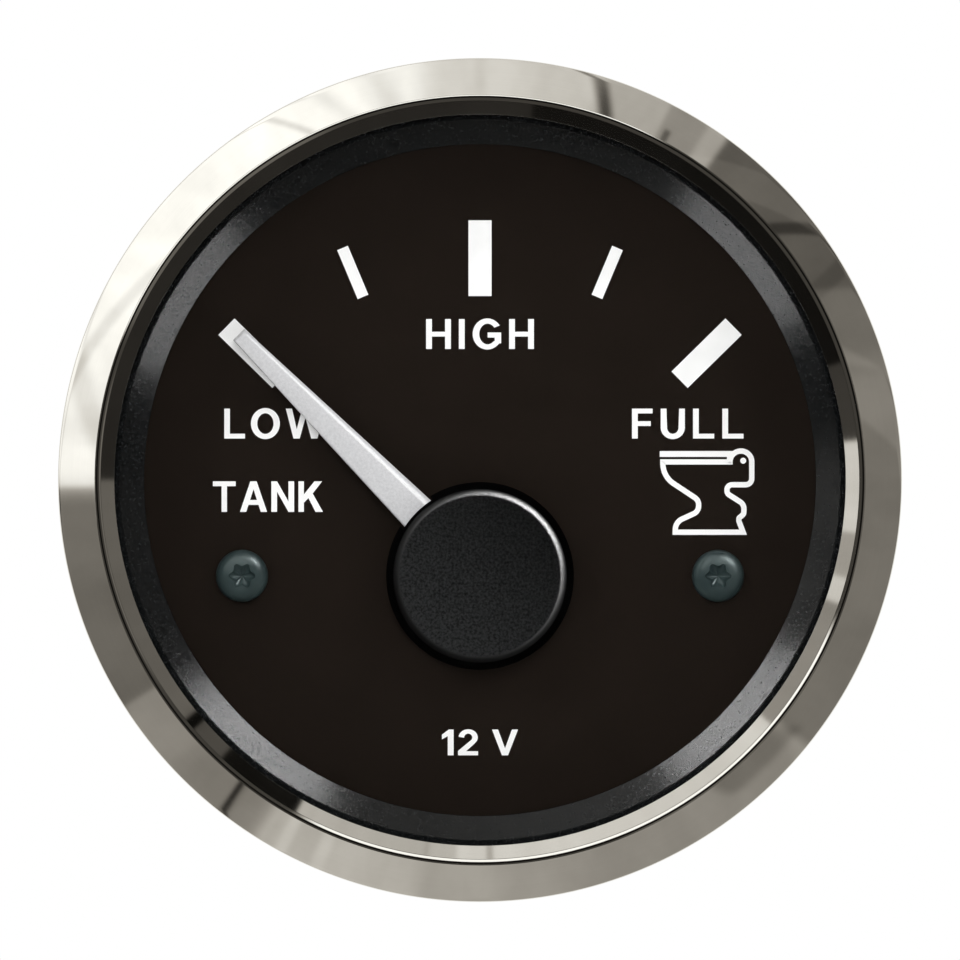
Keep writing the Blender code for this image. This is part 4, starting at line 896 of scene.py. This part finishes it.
# Terminals: M4 brass studs that run back from the board, each with a plated washer and a
# chamfered brass nut, and two flat brass blades for the lamps.
brass = surface("brass", (0.62, 0.42, 0.15), (0.78, 0.57, 0.25), grain, rough=(0.22, 0.34), metallic=1.0,
                bump=0.12, scale=3500.0, drift=700.0)
zinc = surface("zinc_plate", (0.55, 0.575, 0.575), (0.64, 0.66, 0.65), grain, rough=(0.36, 0.43),
               metallic=1.0, bump=0.15, depth=0.00001, scale=2600.0, drift=500.0)
pitch, thread_depth, thread_sides = 0.7, 0.40, 36


def threaded(plain, start, end, at, chamfer=0.5):
    """A rod turned from a plain profile, then cut with an M4 thread from one depth to another."""
    rings = [[around(at, radius, tau * i / thread_sides, y) for i in range(thread_sides)]
             for radius, y in plain]
    count = round((end - start) / pitch * 8)
    for step in range(count + 1):
        y = start + (end - start) * step / count
        ring = []
        for i in range(thread_sides):
            turn = i / thread_sides
            phase = (y / pitch - turn) % 1.0
            ridge = min(max(1.3 * (1 - abs(2 * phase - 1)) - 0.12, 0.0), 1.0)
            radius = 2.0 - thread_depth * (1 - ridge)
            radius = min(radius, 2.0 - chamfer + (end - y))
            ring.append(around(at, radius, tau * turn, y))
        rings.append(ring)
    return skin(rings)


def hex_nut(flats, front, back, bore, at, sides=72, chamfer_share=0.96):
    """A hexagon nut with chamfered corners and a countersunk bore."""
    rings = [[] for _ in range(8)]
    inner = flats / 2 * chamfer_share
    for i in range(sides):
        angle = tau * i / sides
        corner = flats / 2 / cos((angle + pi / 6) % (pi / 3) - pi / 6)
        drop = (corner - inner) * tan(radians(30))
        section = [(bore + 0.25, front), (inner, front), (corner, front + drop), (corner, back - drop),
                   (inner, back), (bore + 0.25, back), (bore, back - 0.25), (bore, front + 0.25)]
        for ring, (radius, y) in zip(rings, section):
            ring.append(around(at, radius, angle, y))
    return skin(rings, closed=True)


washer_profile = rounded([(2.2, 30.6, 0.06), (4.5, 30.6, 0.2), (4.5, 31.4, 0.2), (2.2, 31.4, 0.06)], 3)
stud_profile = [(2.0, 4.8), (2.0, 26.2), (3.2, 26.2), (3.2, 27.4), (1.98, 27.4), (1.98, 28.4)]
for name, place in terminals.items():
    as_piece(f"terminal_{name}", threaded(stud_profile, 28.5, 40.5, place), brass, "case",
             [f"terminal_stud_{name}"])
    as_piece(f"washer_{name}", turned(washer_profile, 72, True, place), zinc, "case",
             [f"terminal_washer_{name}"])
    as_piece(f"nut_{name}", hex_nut(7.0, 31.5, 34.7, 2.2, place), brass, "case",
             [f"terminal_nut_{name}"], smooth_below=25)
blade_outline = [(-2.4, 4.8), (2.4, 4.8), (2.4, 36.3), (1.5, 37.5), (-1.5, 37.5), (-2.4, 36.3)]
for name, (x, z) in blades.items():
    bm = flat_part([blade_outline, circle(0.75, 32, (0.0, 34.2))], 0.8, 0.12)
    bmesh.ops.transform(bm, matrix=Matrix.Translation((x * mm, 0.0, z * mm)) @ Matrix.Scale(mm, 4),
                        verts=bm.verts)
    as_piece(f"blade_{name}", bm, brass, "case", [f"lamp_blade_{name}"])
dress(brass, "coil_pin_1", "coil_pin_2", "coil_pin_3", "coil_pin_4")

# Clamp: two zinc-plated steel studs headed inside the case, a U bracket bent from strip, whose
# feet press on the panel, and two fluted nuts turned by hand.
clamp_stud_profile = [(3.4, 25.9), (3.5, 26.0), (3.5, 27.3), (3.4, 27.4), (1.98, 27.4), (1.98, 28.4)]
for name, place in clamp_places.items():
    as_piece(f"clamp_rod_{name}", threaded(clamp_stud_profile, 28.5, 53.5, place), zinc, "case",
             [f"clamp_stud_{name}"])
bracket_middle = rounded([(30.3, 6.75, 0.0), (27.35, 6.75, 1.35), (27.35, 37.05, 1.35), (-27.35, 37.05, 1.35),
                          (-27.35, 6.75, 1.35), (-30.3, 6.75, 0.0)], 10)
bracket_outline = open_line(bracket_middle, 1.5)
bracket = as_piece("bracket_bent", flat_part([bracket_outline], 10.0, 0.2), zinc, None)
bracket.data.transform(Matrix.Scale(mm, 4))
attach(bracket, "clamp")
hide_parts("clamp_bracket")
for place in clamp_places.values():
    cut(bracket, column(circle(2.3), 35.0, 39.0, place))


def fluted_nut(at, flutes=14, sides=168):
    """A thumb nut: a plain collar and a fluted head with rounded rims, bored through."""
    section = [(2.45, 37.9, 0), (3.8, 37.9, 0), (4.0, 38.1, 0), (4.0, 39.7, 0), (4.15, 39.9, 0),
               (5.2, 39.9, 0),
               (5.65, 40.05, 0.3), (5.9, 40.35, 0.8), (6.0, 40.8, 1), (6.0, 44.0, 1), (5.9, 44.45, 0.8),
               (5.65, 44.75, 0.3), (5.2, 44.9, 0), (3.4, 44.9, 0), (3.2, 44.7, 0), (2.45, 44.7, 0),
               (2.2, 44.45, 0), (2.2, 38.15, 0)]
    rings = []
    for radius, y, fluted in section:
        ring = []
        for i in range(sides):
            angle = tau * i / sides
            hollow = max(0.0, cos(flutes * angle)) ** 0.7
            reach = radius - 0.5 * fluted * hollow
            ring.append(around(at, reach, angle, y))
        rings.append(ring)
    return skin(rings, closed=True)


for name, place in clamp_places.items():
    as_piece(f"thumb_{name}", fluted_nut(place), zinc, f"nut_{name}", [f"thumb_nut_{name}"])
